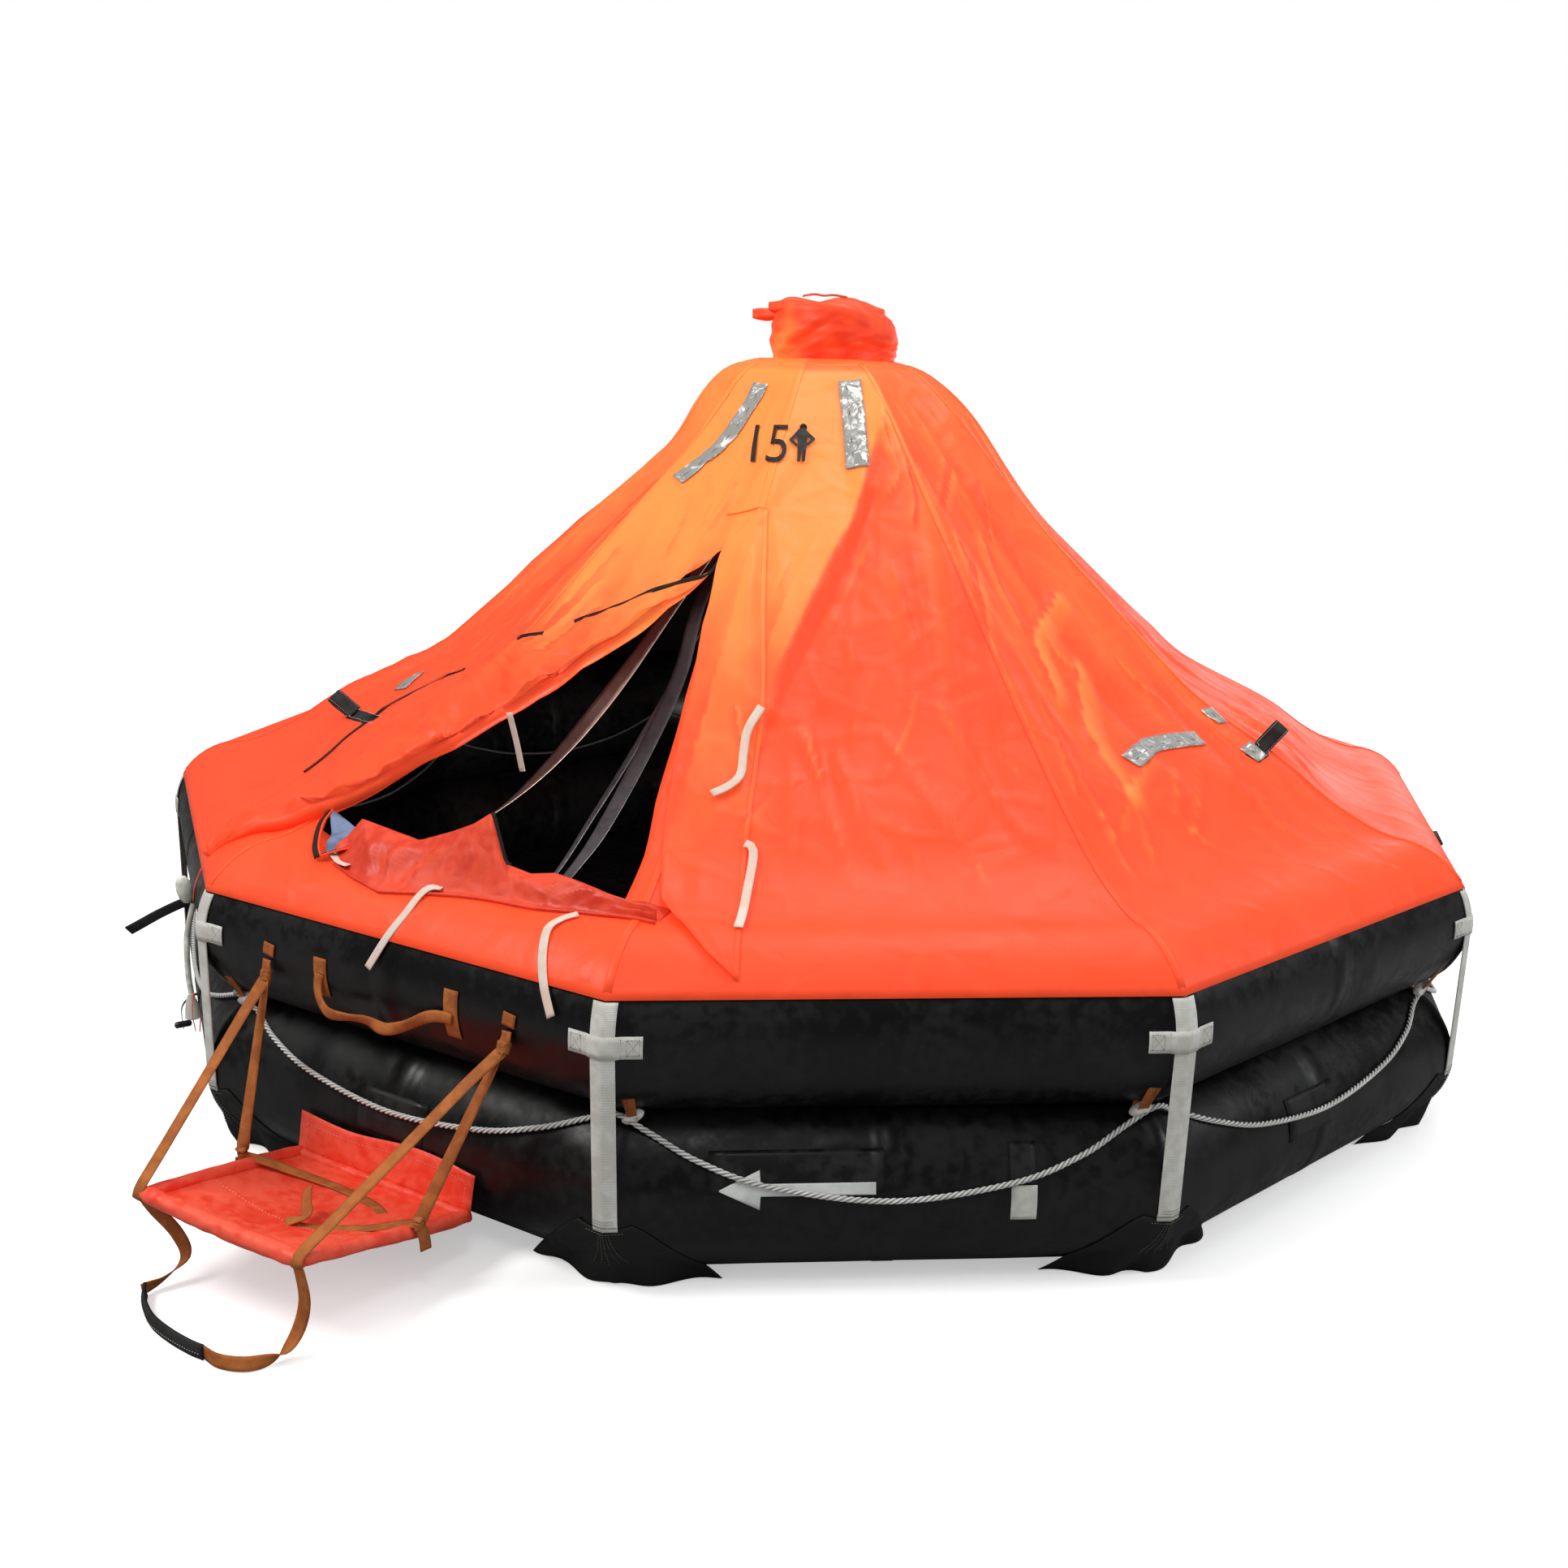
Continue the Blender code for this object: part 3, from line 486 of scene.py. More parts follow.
RUBBER, PATCH, COVER = rubber_material(), patch_material(), cover_material()
LINING, REFLECTIVE = lining_material(), tape_material()
SILL_CLOTH = cloth_material("sill_cloth", (0.66, 0.040, 0.014), (0.78, 0.066, 0.022), 0.48, 14.0)
POCKET = cloth_material("pocket_cloth", (0.0040, 0.0040, 0.0038), (0.009, 0.009, 0.0085), 0.7)
FLOOR_CLOTH = cloth_material("floor_cloth", (0.006, 0.006, 0.0065), (0.014, 0.014, 0.015), 0.62)
TRAY_CLOTH = cloth_material("tray_cloth", (0.86, 0.050, 0.022), (0.92, 0.10, 0.05), 0.45, 16.0)
LINER = cloth_material("liner_cloth", (0.10, 0.14, 0.26), (0.17, 0.22, 0.36), 0.6, 30.0)
MARKING = cloth_material("marking_paint", (0.010, 0.009, 0.008), (0.03, 0.012, 0.008), 0.6)
ARROW_WHITE = cloth_material("arrow_paint", (0.66, 0.68, 0.66), (0.56, 0.58, 0.56), 0.5)
LABEL_WHITE = cloth_material("blank_label", (0.62, 0.63, 0.58), (0.52, 0.53, 0.48), 0.5)
LABEL_RED = cloth_material("red_tag", (0.80, 0.06, 0.035), (0.62, 0.05, 0.03), 0.5)
TAN_CLOTH = cloth_material("tan_cloth", (0.46, 0.135, 0.028), (0.30, 0.085, 0.018), 0.7, 60.0)
WHITE_STRAP = webbing_material("white_webbing", (0.70, 0.70, 0.66), (0.58, 0.57, 0.52), 0.05)
WHITE_TIE = webbing_material("white_tie_tape", (0.74, 0.66, 0.58), (0.76, 0.56, 0.46), 0.02)
TAN_STRAP = webbing_material("tan_webbing", (0.50, 0.155, 0.032), (0.36, 0.10, 0.022), 0.026)
BLACK_STRAP = webbing_material("black_webbing", (0.012, 0.012, 0.012), (0.03, 0.03, 0.03), 0.04)
GREY_STRAP = webbing_material("grey_webbing", (0.075, 0.072, 0.078), (0.11, 0.10, 0.11), 0.035)
PALE_STRAP = webbing_material("pale_webbing", (0.72, 0.52, 0.46), (0.60, 0.40, 0.34), 0.045)
ZIP_TAPE = webbing_material("zip_tape", (0.010, 0.009, 0.009), (0.022, 0.018, 0.016), 0.02)
WHITE_ROPE = rope_material("white_rope", (0.80, 0.80, 0.78), (0.66, 0.65, 0.62))
GREY_ROPE = rope_material("grey_line", (0.22, 0.22, 0.23), (0.15, 0.15, 0.16))
THREAD = rope_material("white_thread", (0.66, 0.66, 0.63), (0.5, 0.5, 0.47))
GREY_THREAD = rope_material("grey_thread", (0.20, 0.20, 0.19), (0.15, 0.15, 0.14))
TAN_THREAD = rope_material("tan_thread", (0.62, 0.30, 0.12), (0.5, 0.22, 0.08))
BLACK_THREAD = rope_material("black_thread", (0.02, 0.02, 0.02), (0.03, 0.03, 0.03))
WHITE_PLASTIC = plastic_material("white_plastic", (0.50, 0.52, 0.46), 0.35)
BLACK_PLASTIC = plastic_material("black_plastic", (0.012, 0.012, 0.012), 0.35)
CYLINDER_PAINT = plastic_material("cylinder_paint", (0.20, 0.21, 0.22), 0.32)
STEEL = plastic_material("zinc_steel", (0.45, 0.45, 0.44), 0.28, 1.0)
BRASS = plastic_material("brass", (0.55, 0.36, 0.12), 0.3, 1.0)


# Pieces

def deselect():
    bpy.ops.object.select_all(action="DESELECT")


def finished(obj, body):
    """A piece that rides on a body."""
    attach(obj, body)
    return obj


def mesh_object(name, verts, faces, material, body):
    """New smooth piece from points and faces."""
    mesh = bpy.data.meshes.new(name)
    mesh.from_pydata([tuple(v) for v in verts], [], faces)
    mesh.materials.append(material)
    mesh.shade_smooth()
    obj = bpy.data.objects.new(name, mesh)
    bpy.context.collection.objects.link(obj)
    return finished(obj, body)


@contextmanager
def open_mesh(obj):
    """A piece's mesh while it is being changed."""
    bm = bmesh.new()
    bm.from_mesh(obj.data)
    yield bm
    bm.to_mesh(obj.data)
    bm.free()


def face_up(bm):
    """Turns a sheet's faces to agree, and upward on the whole."""
    bmesh.ops.recalc_face_normals(bm, faces=bm.faces[:])
    if sum(f.normal.z for f in bm.faces) < 0:
        bmesh.ops.reverse_faces(bm, faces=bm.faces[:])


def point_values(obj, name, values):
    """Stores one value for each point, which a material reads by name."""
    obj.data.attributes.new(name, "FLOAT", "POINT").data.foreach_set("value", values)


def grid_faces(rows, count, closed=False):
    """Quads between rows of points, count points to a row."""
    return [(i * count + j, i * count + (j + 1) % count,
             (i + 1) * count + (j + 1) % count, (i + 1) * count + j)
            for i in range(rows - 1) for j in range(count if closed else count - 1)]


def apply_modifiers(obj):
    deselect()
    obj.select_set(True)
    bpy.context.view_layer.objects.active = obj
    for modifier in list(obj.modifiers):
        bpy.ops.object.modifier_apply(modifier=modifier.name)


def grid_area(rows):
    """Area of the quads of a grid, and the lengths of its longest row and column."""
    area = 0.0
    for upper, lower in zip(rows, rows[1:]):
        for a, b, c, d in zip(upper, upper[1:], lower[1:], lower):
            area += ((b - a).cross(c - a).length + (c - a).cross(d - a).length) / 2
    width = max(path_length(row) for row in rows)
    length = max(path_length(column) for column in zip(*rows))
    return area, width, length


def cloth_grid(name, rows, material, thickness=0.0, body="raft", closed=False,
               offset=0.0, held=None, lining=None):
    """Sheet through rows of points, with a UV map in metres, thickened on request."""
    count = len(rows[0])
    verts = [spot for row in rows for spot in row]
    obj = mesh_object(name, verts, grid_faces(len(rows), count, closed), material, body)
    across, down = [0.0], [0.0]
    middle, half = rows[len(rows) // 2], count // 2
    for a, b in zip(middle, middle[1:]):
        across.append(across[-1] + (b - a).length)
    for a, b in zip(rows, rows[1:]):
        down.append(down[-1] + (b[half] - a[half]).length)
    uv = obj.data.uv_layers.new(name="metres")
    for loop in obj.data.loops:
        i, j = divmod(loop.vertex_index, count)
        uv.data[loop.index].uv = (across[j], down[i])
    if lining:
        obj.data.materials.append(lining)
    if thickness:
        wall = obj.modifiers.new("thickness", "SOLIDIFY")
        wall.thickness = thickness
        wall.offset = offset
        wall.material_offset = 1 if lining else 0
        apply_modifiers(obj)
    if held:
        area, width, length = grid_area([row + row[:1] for row in rows] if closed else rows)
        width = min(width, area / (0.4 * length))
    return obj


def webbing_rows(path, across, width, step=0.010, columns=4, cup=0.0):
    """Rows of points of a flat strap; across is the direction of its width at each point."""
    spots, wides = smooth_paths(path, across, step)
    rows, normals = [], []
    for i, spot in enumerate(spots):
        ahead = (spots[min(i + 1, len(spots) - 1)] - spots[max(i - 1, 0)]).normalized()
        wide = (wides[i] - ahead * wides[i].dot(ahead)).normalized()
        out = ahead.cross(wide)
        normals.append(out)
        row = []
        for c in range(columns + 1):
            share = c / columns * 2 - 1
            row.append(spot + wide * (share * width / 2) + out * (cup * (1 - share ** 2)))
        rows.append(row)
    return rows, normals


def webbing(name, path, across, width, material, body="raft", step=0.010,
            thickness=WEBBING_THICKNESS, columns=4, cup=0.0):
    rows, _ = webbing_rows(path, across, width, step, columns, cup)
    return cloth_grid(name, rows, material, thickness, body)


def swept(name, path, section, material, body="raft"):
    """Closed tube along a path; section gives the reach at each turn of each place."""
    up = Vector((0, 0, 1))
    rows, done = [], 0.0
    for i, spot in enumerate(path):
        if i:
            done += (spot - path[i - 1]).length
        ahead = (path[min(i + 1, len(path) - 1)] - path[max(i - 1, 0)]).normalized()
        side = ahead.cross(up)
        side = side.normalized() if side.length > 1e-4 else Vector((1, 0, 0))
        top = side.cross(ahead)
        row = []
        for turn, reach in section(i, done):
            row.append(spot + side * (math.cos(turn) * reach) + top * (math.sin(turn) * reach))
        rows.append(row)
    count = len(rows[0])
    verts = [v for row in rows for v in row]
    faces = [(a, d, c, b) for a, b, c, d in grid_faces(len(rows), count, closed=True)]
    faces.append(tuple(range(count)))
    faces.append(tuple((len(rows) - 1) * count + j for j in reversed(range(count))))
    return mesh_object(name, verts, faces, material, body)


def soft_roll(name, path, radius, material, body="raft", rough=0.12, gather=0.0,
              segments=16, seed=0.0):
    """Rolled hem or knot: a round tube whose radius wanders and gathers at its ends."""
    last = len(path) - 1

    def section(i, done):
        share = i / last
        ends = 1 - gather * (1 - eased(min(share, 1 - share) / 0.10))
        ring = []
        for j in range(segments):
            turn = 2 * math.pi * j / segments
            swell = noise.noise(Vector((done * 26 + seed, math.cos(turn) * 1.4,
                                        math.sin(turn) * 1.4 + seed)))
            ring.append((turn, radius * ends * (1 + rough * swell)))
        return ring

    return swept(name, path, section, material, body)


class Stitches:
    """Gathers small thread stitches of one colour into one piece."""

    def __init__(self, name, material, body="raft"):
        self.name, self.material, self.body = name, material, body
        self.verts, self.faces = [], []

    def one(self, start, end, normal, radius=0.0008):
        ahead = (end - start).normalized()
        side = ahead.cross(normal).normalized() * radius
        lift = normal.normalized() * radius
        base = len(self.verts)
        middle = (start + end) / 2
        self.verts.append(start)
        self.verts += [middle + side, middle + lift * 1.4, middle - side, middle - lift]
        self.verts.append(end)
        for k in range(4):
            nxt = (k + 1) % 4
            self.faces.append((base, base + 1 + k, base + 1 + nxt))
            self.faces.append((base + 5, base + 1 + nxt, base + 1 + k))

    def line(self, path, normals, pitch=0.0075, length=0.0052, radius=0.0008):
        """Stitches along a path of points, with the cloth's normal at each."""
        total = path_length(path)
        count = max(int(total / pitch), 1)
        j, done = 0, 0.0
        spans = [(b - a).length for a, b in zip(path, path[1:])]
        for k in range(count):
            want = (k + 0.5) * total / count
            while j < len(spans) - 1 and done + spans[j] < want:
                done += spans[j]
                j += 1
            share = (want - done) / max(spans[j], 1e-9)
            centre = path[j].lerp(path[j + 1], share)
            ahead = (path[j + 1] - path[j]).normalized() * (length / 2)
            self.one(centre - ahead, centre + ahead, normals[j], radius)

    def finish(self):
        obj = mesh_object(self.name, self.verts, self.faces, self.material, self.body)
        with open_mesh(obj) as bm:
            bmesh.ops.recalc_face_normals(bm, faces=bm.faces[:])


# Camera, light and stage

CAMERA_PLACE = Vector((2.1741, -3.7663, 1.7085))
CAMERA_HEADING = math.radians(36) - 0.0867
CAMERA_PITCH = 0.255
CAMERA_ROLL = 0.0252
CAMERA_LENS = 36.31
CAMERA_TURN = (Matrix.Rotation(CAMERA_HEADING, 4, "Z")
               @ Matrix.Rotation(math.pi / 2 - CAMERA_PITCH, 4, "X")
               @ Matrix.Rotation(CAMERA_ROLL, 4, "Z"))
PICTURE_WIDTH = 1932
SENSOR_WIDTH = 36.0


def make_camera():
    data = bpy.data.cameras.new("camera")
    data.lens = CAMERA_LENS
    data.sensor_width = SENSOR_WIDTH
    data.clip_end = 100
    obj = bpy.data.objects.new("camera", data)
    bpy.context.collection.objects.link(obj)
    obj.matrix_world = Matrix.Translation(CAMERA_PLACE) @ CAMERA_TURN
    bpy.context.scene.camera = obj


def make_light(name, place, target, size, power, colour=(1, 1, 1)):
    data = bpy.data.lights.new(name, "AREA")
    data.shape = "DISK"
    data.size = size
    data.energy = power
    data.color = colour
    obj = bpy.data.objects.new(name, data)
    bpy.context.collection.objects.link(obj)
    obj.location = place
    obj.rotation_euler = (Vector(target) - Vector(place)).to_track_quat("-Z", "Y").to_euler()
    obj.visible_camera = False


def make_stage():
    """Pale floor that fades into a white surround, and soft studio lights."""
    deselect()
    bpy.ops.mesh.primitive_plane_add(size=60, location=(0, 0, -0.0005))
    ground = bpy.context.object
    ground.name = "studio_floor"
    paint = Finish("studio_floor", 0.9, 0.0)
    seen = paint.add("LightPath").outputs["Is Camera Ray"]
    pale = paint.mixed(paint.noise(paint.place, 0.6, 2.0), (0.90, 0.90, 0.90, 1),
                       (0.93, 0.93, 0.925, 1))
    paint.colour(paint.mixed(seen, (0.30, 0.30, 0.30, 1), pale))
    away = paint.add("VectorMath", {0: paint.place}, operation="LENGTH").outputs["Value"]
    paint.inputs["Emission Color"].default_value = (1, 1, 1, 1)
    paint.put(paint.inputs["Emission Strength"],
              paint.maths("MULTIPLY", paint.ramp(away, 1.6, 4.6, 0.42, 1.0), seen))
    ground.data.materials.append(paint.material)
    world = bpy.data.worlds.new("studio")
    world.use_nodes = True
    nodes = Nodes(world.node_tree)
    rays = nodes.add("LightPath").outputs
    strength = nodes.maths("MULTIPLY_ADD", rays["Is Glossy Ray"], -0.43, 0.55)
    strength = nodes.maths("MULTIPLY_ADD", rays["Is Camera Ray"], 0.45, strength)
    sky = nodes.tree.nodes["Background"].inputs
    sky["Color"].default_value = (1, 1, 1, 1)
    nodes.put(sky["Strength"], strength)
    bpy.context.scene.world = world
    make_light("key", (-2.2, -4.2, 5.2), (0, 0, 0.9), 2.4, 190, (1.0, 0.985, 0.96))
    make_light("top", (0.6, 1.2, 6.0), (0, 0, 0.5), 3.4, 125, (1.0, 0.99, 0.97))
    make_light("right", (5.2, 0.6, 3.0), (0, 0, 0.8), 2.2, 70, (0.97, 0.98, 1.0))
    make_light("back", (0.8, 7.0, 1.9), (0.4, 0, 1.0), 4.0, 55, (1.0, 0.97, 0.98))
    make_light("front", (1.7, -3.1, 3.9), (1.0, -1.7, 0.5), 0.9, 16)
    make_light("inside", (0.25, -0.95, 0.40), (0.1, 0.2, 1.4), 0.5, 15, (1.0, 0.93, 0.90))
    bpy.context.scene.view_settings.view_transform = "Standard"


# Lifelines

def swag_route(apothem, corner_z, sags):
    """Swags from corner to corner, seven points to a side and one at each corner between."""
    length = 2 * apothem * TAN_HALF
    points = []
    for i in range(SIDES):
        side = (ROPE_FIRST_SIDE + i) % SIDES
        shares = SWAG_SHARES if i == 0 else (0.0,) + SWAG_SHARES
        for share in shares:
            drop = sags[side] * (1 - (2 * share - 1) ** 2)
            points.append(on_side(side, apothem, (share - 0.5) * length, corner_z - drop))
    return points


def pushed_out(spot, apothem):
    """A point moved outward so that its apothem on its own side is at least this."""
    side = round(math.atan2(spot.x, -spot.y) / (2 * HALF_STEP))
    out = outward(side_azimuth(side))
    return spot + out * max(apothem - spot.dot(out), 0)


def laid_rope(name, path, diameter, lay, strands, per_strand, material):
    """Twisted rope as a tube whose lobed section turns along the path."""
    points = strands * per_strand
    radius = diameter / 2
    strand = radius / (1 + 1 / math.sin(math.pi / strands))
    centre = radius - strand
    profile = []
    for j in range(points):
        turn = 2 * math.pi * j / points
        near = (turn + math.pi / strands) % (2 * math.pi / strands) - math.pi / strands
        inside = strand ** 2 - (centre * math.sin(near)) ** 2
        reach = centre * math.cos(near) + math.sqrt(max(inside, 0.0))
        profile.append(max(reach, radius * 0.62))

    def section(_, done):
        twist = 2 * math.pi * done / lay
        return [(2 * math.pi * j / points + twist, profile[j]) for j in range(points)]

    obj = swept(name, path, section, material, "raft")
    # How deep each point lies between the strands, where the rope's finish paints shade.
    deep = [eased((0.90 - r / radius) / 0.25) for r in profile]
    point_values(obj, "groove", [deep[i % points] for i in range(len(obj.data.vertices))])
    return obj


def make_lifelines():
    clear = TUBE_RADIUS + ROPE_DIAMETER / 2 + CHORD_CLEARANCE
    shaped = []
    for spot in swag_route(ROPE_APOTHEM, ROPE_CORNER_Z, ROPE_SAGS):
        height = spot.z - LOWER_TUBE_Z
        bulge = math.sqrt(max(clear ** 2 - height ** 2, 0))
        shaped.append(pushed_out(spot, max(TUBE_APOTHEM + bulge, ROPE_APOTHEM)))
    path = smooth_path(shaped, 0.0036)
    line = laid_rope("lifeline_rope", path, ROPE_DIAMETER, 0.040, 3, 5, WHITE_ROPE)
    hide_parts("lifeline")
    apothem = TUBE_APOTHEM - TUBE_RADIUS - INNER_ROPE_DIAMETER / 2
    inner = smooth_path(swag_route(apothem, INNER_ROPE_Z, INNER_ROPE_SAGS), 0.006)
    hold = laid_rope("inner_line", inner, INNER_ROPE_DIAMETER, 0.030, 4, 2, GREY_ROPE)
    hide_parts("inner_lifeline")
    return shaped


# Hull

SEAM_HALF = 0.020
SEAM_LIFT = 0.0009


def tube_stations():
    """Runs along a side as functions of its half length: seam tapes at corners and middle."""
    near = (0.0, SEAM_HALF, SEAM_HALF + 0.0015, 0.035, 0.055)
    rows = [lambda half, d=d: -half + d for d in near]
    for share in (-0.84, -0.72, -0.60, -0.46, -0.32, -0.18, -0.08):
        rows.append(lambda half, s=share: s * half)
    for run in (-SEAM_HALF - 0.0015, -SEAM_HALF, SEAM_HALF, SEAM_HALF + 0.0015):
        rows.append(lambda half, r=run: r)
    for share in (0.08, 0.18, 0.32, 0.46, 0.60, 0.72, 0.84):
        rows.append(lambda half, s=share: s * half)
    rows += [lambda half, d=d: half - d for d in reversed(near[1:])]
    return rows


def make_tube(name, centre_z, low, high, cad_node):
    """Inflated tube: round section, mitred corners, seam tapes and slight puckers."""
    section = 56
    rows = []
    stations = tube_stations()
    taped = {0, 1, 13, 14, len(stations) - 1}
    for side in range(SIDES):
        for i, station in enumerate(stations):
            row = []
            lift = SEAM_LIFT if i in taped else 0.0
            for j in range(section):
                angle = 2 * math.pi * j / section
                half = (TUBE_APOTHEM + TUBE_RADIUS * math.sin(angle)) * TAN_HALF
                run = station(half)
                corner = eased(1 - (half - abs(run)) / 0.16)
                ruffle = noise.noise(Vector((side * 7.3 + run * 3.0, angle * 4.5, centre_z * 9)))
                pucker = 0.0022 * corner * ruffle - 0.0014 * corner * (1 - corner)
                radius = TUBE_RADIUS + lift + pucker + 0.0008 * noise.noise(
                    Vector((run * 6, angle * 2, side + centre_z)))
                spot = on_side(side, TUBE_APOTHEM + radius * math.sin(angle), run,
                               centre_z + radius * math.cos(angle))
                spot.z = min(max(spot.z, low), high)
                row.append(spot)
            rows.append(row)
    verts = [v for row in rows for v in row]
    faces = [tuple(q % len(verts) for q in quad)
             for quad in grid_faces(len(rows) + 1, section, closed=True)]
    obj = mesh_object(name, verts, faces, RUBBER, "raft")
    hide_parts(cad_node)


def make_hull():
    contact = (LOWER_TUBE_Z + UPPER_TUBE_Z) / 2
    make_tube("lower_tube_skin", LOWER_TUBE_Z, 0.0005, contact - 0.0004, "lower_tube")
    make_tube("upper_tube_skin", UPPER_TUBE_Z, contact + 0.0004, 1.0, "upper_tube")
    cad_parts["floor"].data.materials.clear()
    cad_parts["floor"].data.materials.append(FLOOR_CLOTH)


def tube_patch(name, side, runs, half_heights, middle_z, lift, material):
    """Flat shape glued round the lower tube: its half height at each run along the side."""
    middle = tube_angle(LOWER_TUBE_Z, middle_z)
    columns = 8
    rows = []
    for run, half in zip(runs, half_heights):
        angles = [middle + (c / columns * 2 - 1) * half / TUBE_RADIUS for c in range(columns + 1)]
        rows.append([on_tube(side, LOWER_TUBE_Z, angle, run, lift) for angle in angles])
    cloth_grid(name, rows, material, 0.0014, "raft", offset=1.0)


def make_tube_marks():
    """Arrow, blank labels and rubber patches on the tubes."""
    tip, neck, tail = -0.326, -0.250, -0.031
    runs = [tip, tip + 0.038, neck, neck + 0.001]
    halves = [0.0012, 0.019, 0.037, 0.0115]
    for k in range(1, 9):
        runs.append(neck + (tail - neck) * k / 8)
        halves.append(0.0115)
    tube_patch("direction_arrow", 1, runs, halves, 0.227, 0.0022, ARROW_WHITE)
    board = [-0.345 + 0.33 * k / 8 for k in range(9)]
    tube_patch("arrow_patch", 1, board, [0.040] * 9, 0.258, 0.0006, PATCH)
    label = [0.226 + 0.05 * k / 4 for k in range(5)]
    tube_patch("label_patch", 1, label, [0.040] * 5, 0.266, 0.0008, PATCH)
    tube_patch("blank_label", 1, [x + 0.002 for x in label], [0.034] * 5, 0.194,
               0.0012, LABEL_WHITE)
    for side in range(SIDES):
        if side == 1:
            continue
        shift = 0.05 * math.sin(side * 2.3)
        board = [shift - 0.09 + 0.18 * k / 6 for k in range(7)]
        tube_patch("tube_patch_%d" % side, side, board, [0.045] * 7, 0.230, 0.0006,
                   PATCH)


def make_pocket(corner):
    """Slack ballast pocket: a cloth curtain from the strap's end to the floor, in folds."""
    columns, steps = 36, 16
    rows = []
    for i in range(steps + 1):
        down = i / steps
        row = []
        for j in range(columns + 1):
            across = j / columns * 2 - 1
            half = 0.055 + 0.150 * down ** 0.8
            run = across * half
            z = 0.152 - 0.150 * down + 0.010 * (across ** 2) * (1 - down)
            height = z - LOWER_TUBE_Z
            bulge = TUBE_APOTHEM + math.sqrt(max(TUBE_RADIUS ** 2 - height ** 2, 0.0)) + 0.0015
            hang = 1.668 - 0.055 * down - 0.022 * across ** 2 * down
            fold = 0.010 * down * math.sin(across * 9 + corner * 1.7 + 2.5 * down)
            fold += 0.006 * down * noise.noise(Vector((across * 3, down * 2, corner * 3.1)))
            apothem = max(bulge, hang + fold)
            azimuth = corner_azimuth(corner)
            sign = -1 if run < 0 else 1
            side_dir = azimuth + sign * HALF_STEP
            spot = outward(azimuth) * (apothem / COS_HALF) + along(side_dir) * run
            spot.z = max(z, 0.002)
            row.append(spot)
        rows.append(row)
    obj = cloth_grid("ballast_pocket_cloth_%d" % corner, rows, POCKET, 0.0016, "raft",
                     held="hung")
    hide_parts("ballast_pocket_%d" % corner)
    return rows


# Cover

def canopy_profile():
    """Apothem and height of the cover's outside on a full ridge, from its edge up."""
    rows = []
    for degrees in range(CANOPY_EDGE_ANGLE, -1, -6):
        radius = TUBE_RADIUS + CANOPY_LIFT
        angle = math.radians(degrees)
        rows.append((TUBE_APOTHEM + radius * math.sin(angle),
                     UPPER_TUBE_Z + radius * math.cos(angle)))
    return rows + CANOPY_RISE


def even_profile(count):
    """The cover's profile as evenly spaced apothems and heights with their normals."""
    points = [Vector((a, 0, z)) for a, z in canopy_profile()]
    total = path_length(points)
    spots = smooth_path(points, total / count)
    rows = []
    for i, spot in enumerate(spots):
        a, b = spots[max(i - 1, 0)], spots[min(i + 1, len(spots) - 1)]
        run, rise = b.x - a.x, b.z - a.z
        size = math.hypot(run, rise)
        rows.append((spot.x, spot.z, rise / size, -run / size))
    return rows


def hollow(z, turn=0.0):
    """How much of the side hollow applies at a height, and at a turn from the full side."""
    lean = math.sin(turn)
    top = min((1.735 - z) / 0.10, 1.0)
    if lean > 0:
        top += (min((1.735 - z) / 0.45, 1.0) - top) * lean
    else:
        top += (min((1.765 - z) / 0.27, 1.0) - top) * -lean
    return eased((z - 0.80) / 0.20) * eased(max(top, 0.0))


def ridge_apothem(corner, apothem, z):
    """Apothem of a ridge point: the cover is fuller across sides 1 and 6."""
    turn = corner_azimuth(corner) - side_azimuth(1)
    return apothem - SIDE_HOLLOW * COS_HALF * hollow(z, turn) * math.sin(turn) ** 2


def polyline_distance(x, y, line):
    """Distance from a point to a polyline and which side of it the point is on."""
    best, sign = 1e9, 1
    for (ax, ay), (bx, by) in zip(line, line[1:]):
        dx, dy = bx - ax, by - ay
        t = min(max(((x - ax) * dx + (y - ay) * dy) / (dx * dx + dy * dy), 0), 1)
        px, py = x - ax - t * dx, y - ay - t * dy
        d = math.hypot(px, py)
        if d < best:
            best, sign = d, 1 if dx * py - dy * px > 0 else -1
    return best, sign


# The long soft crease on side 1, as run and apothem, from the peak down to the door cloth
LONG_CREASE = [(0.103, 0.409), (0.057, 0.518), (0.036, 0.576), (-0.001, 0.655), (-0.043, 0.720),
               (-0.083, 0.789), (-0.123, 0.864), (-0.172, 0.958), (-0.200, 1.035)]
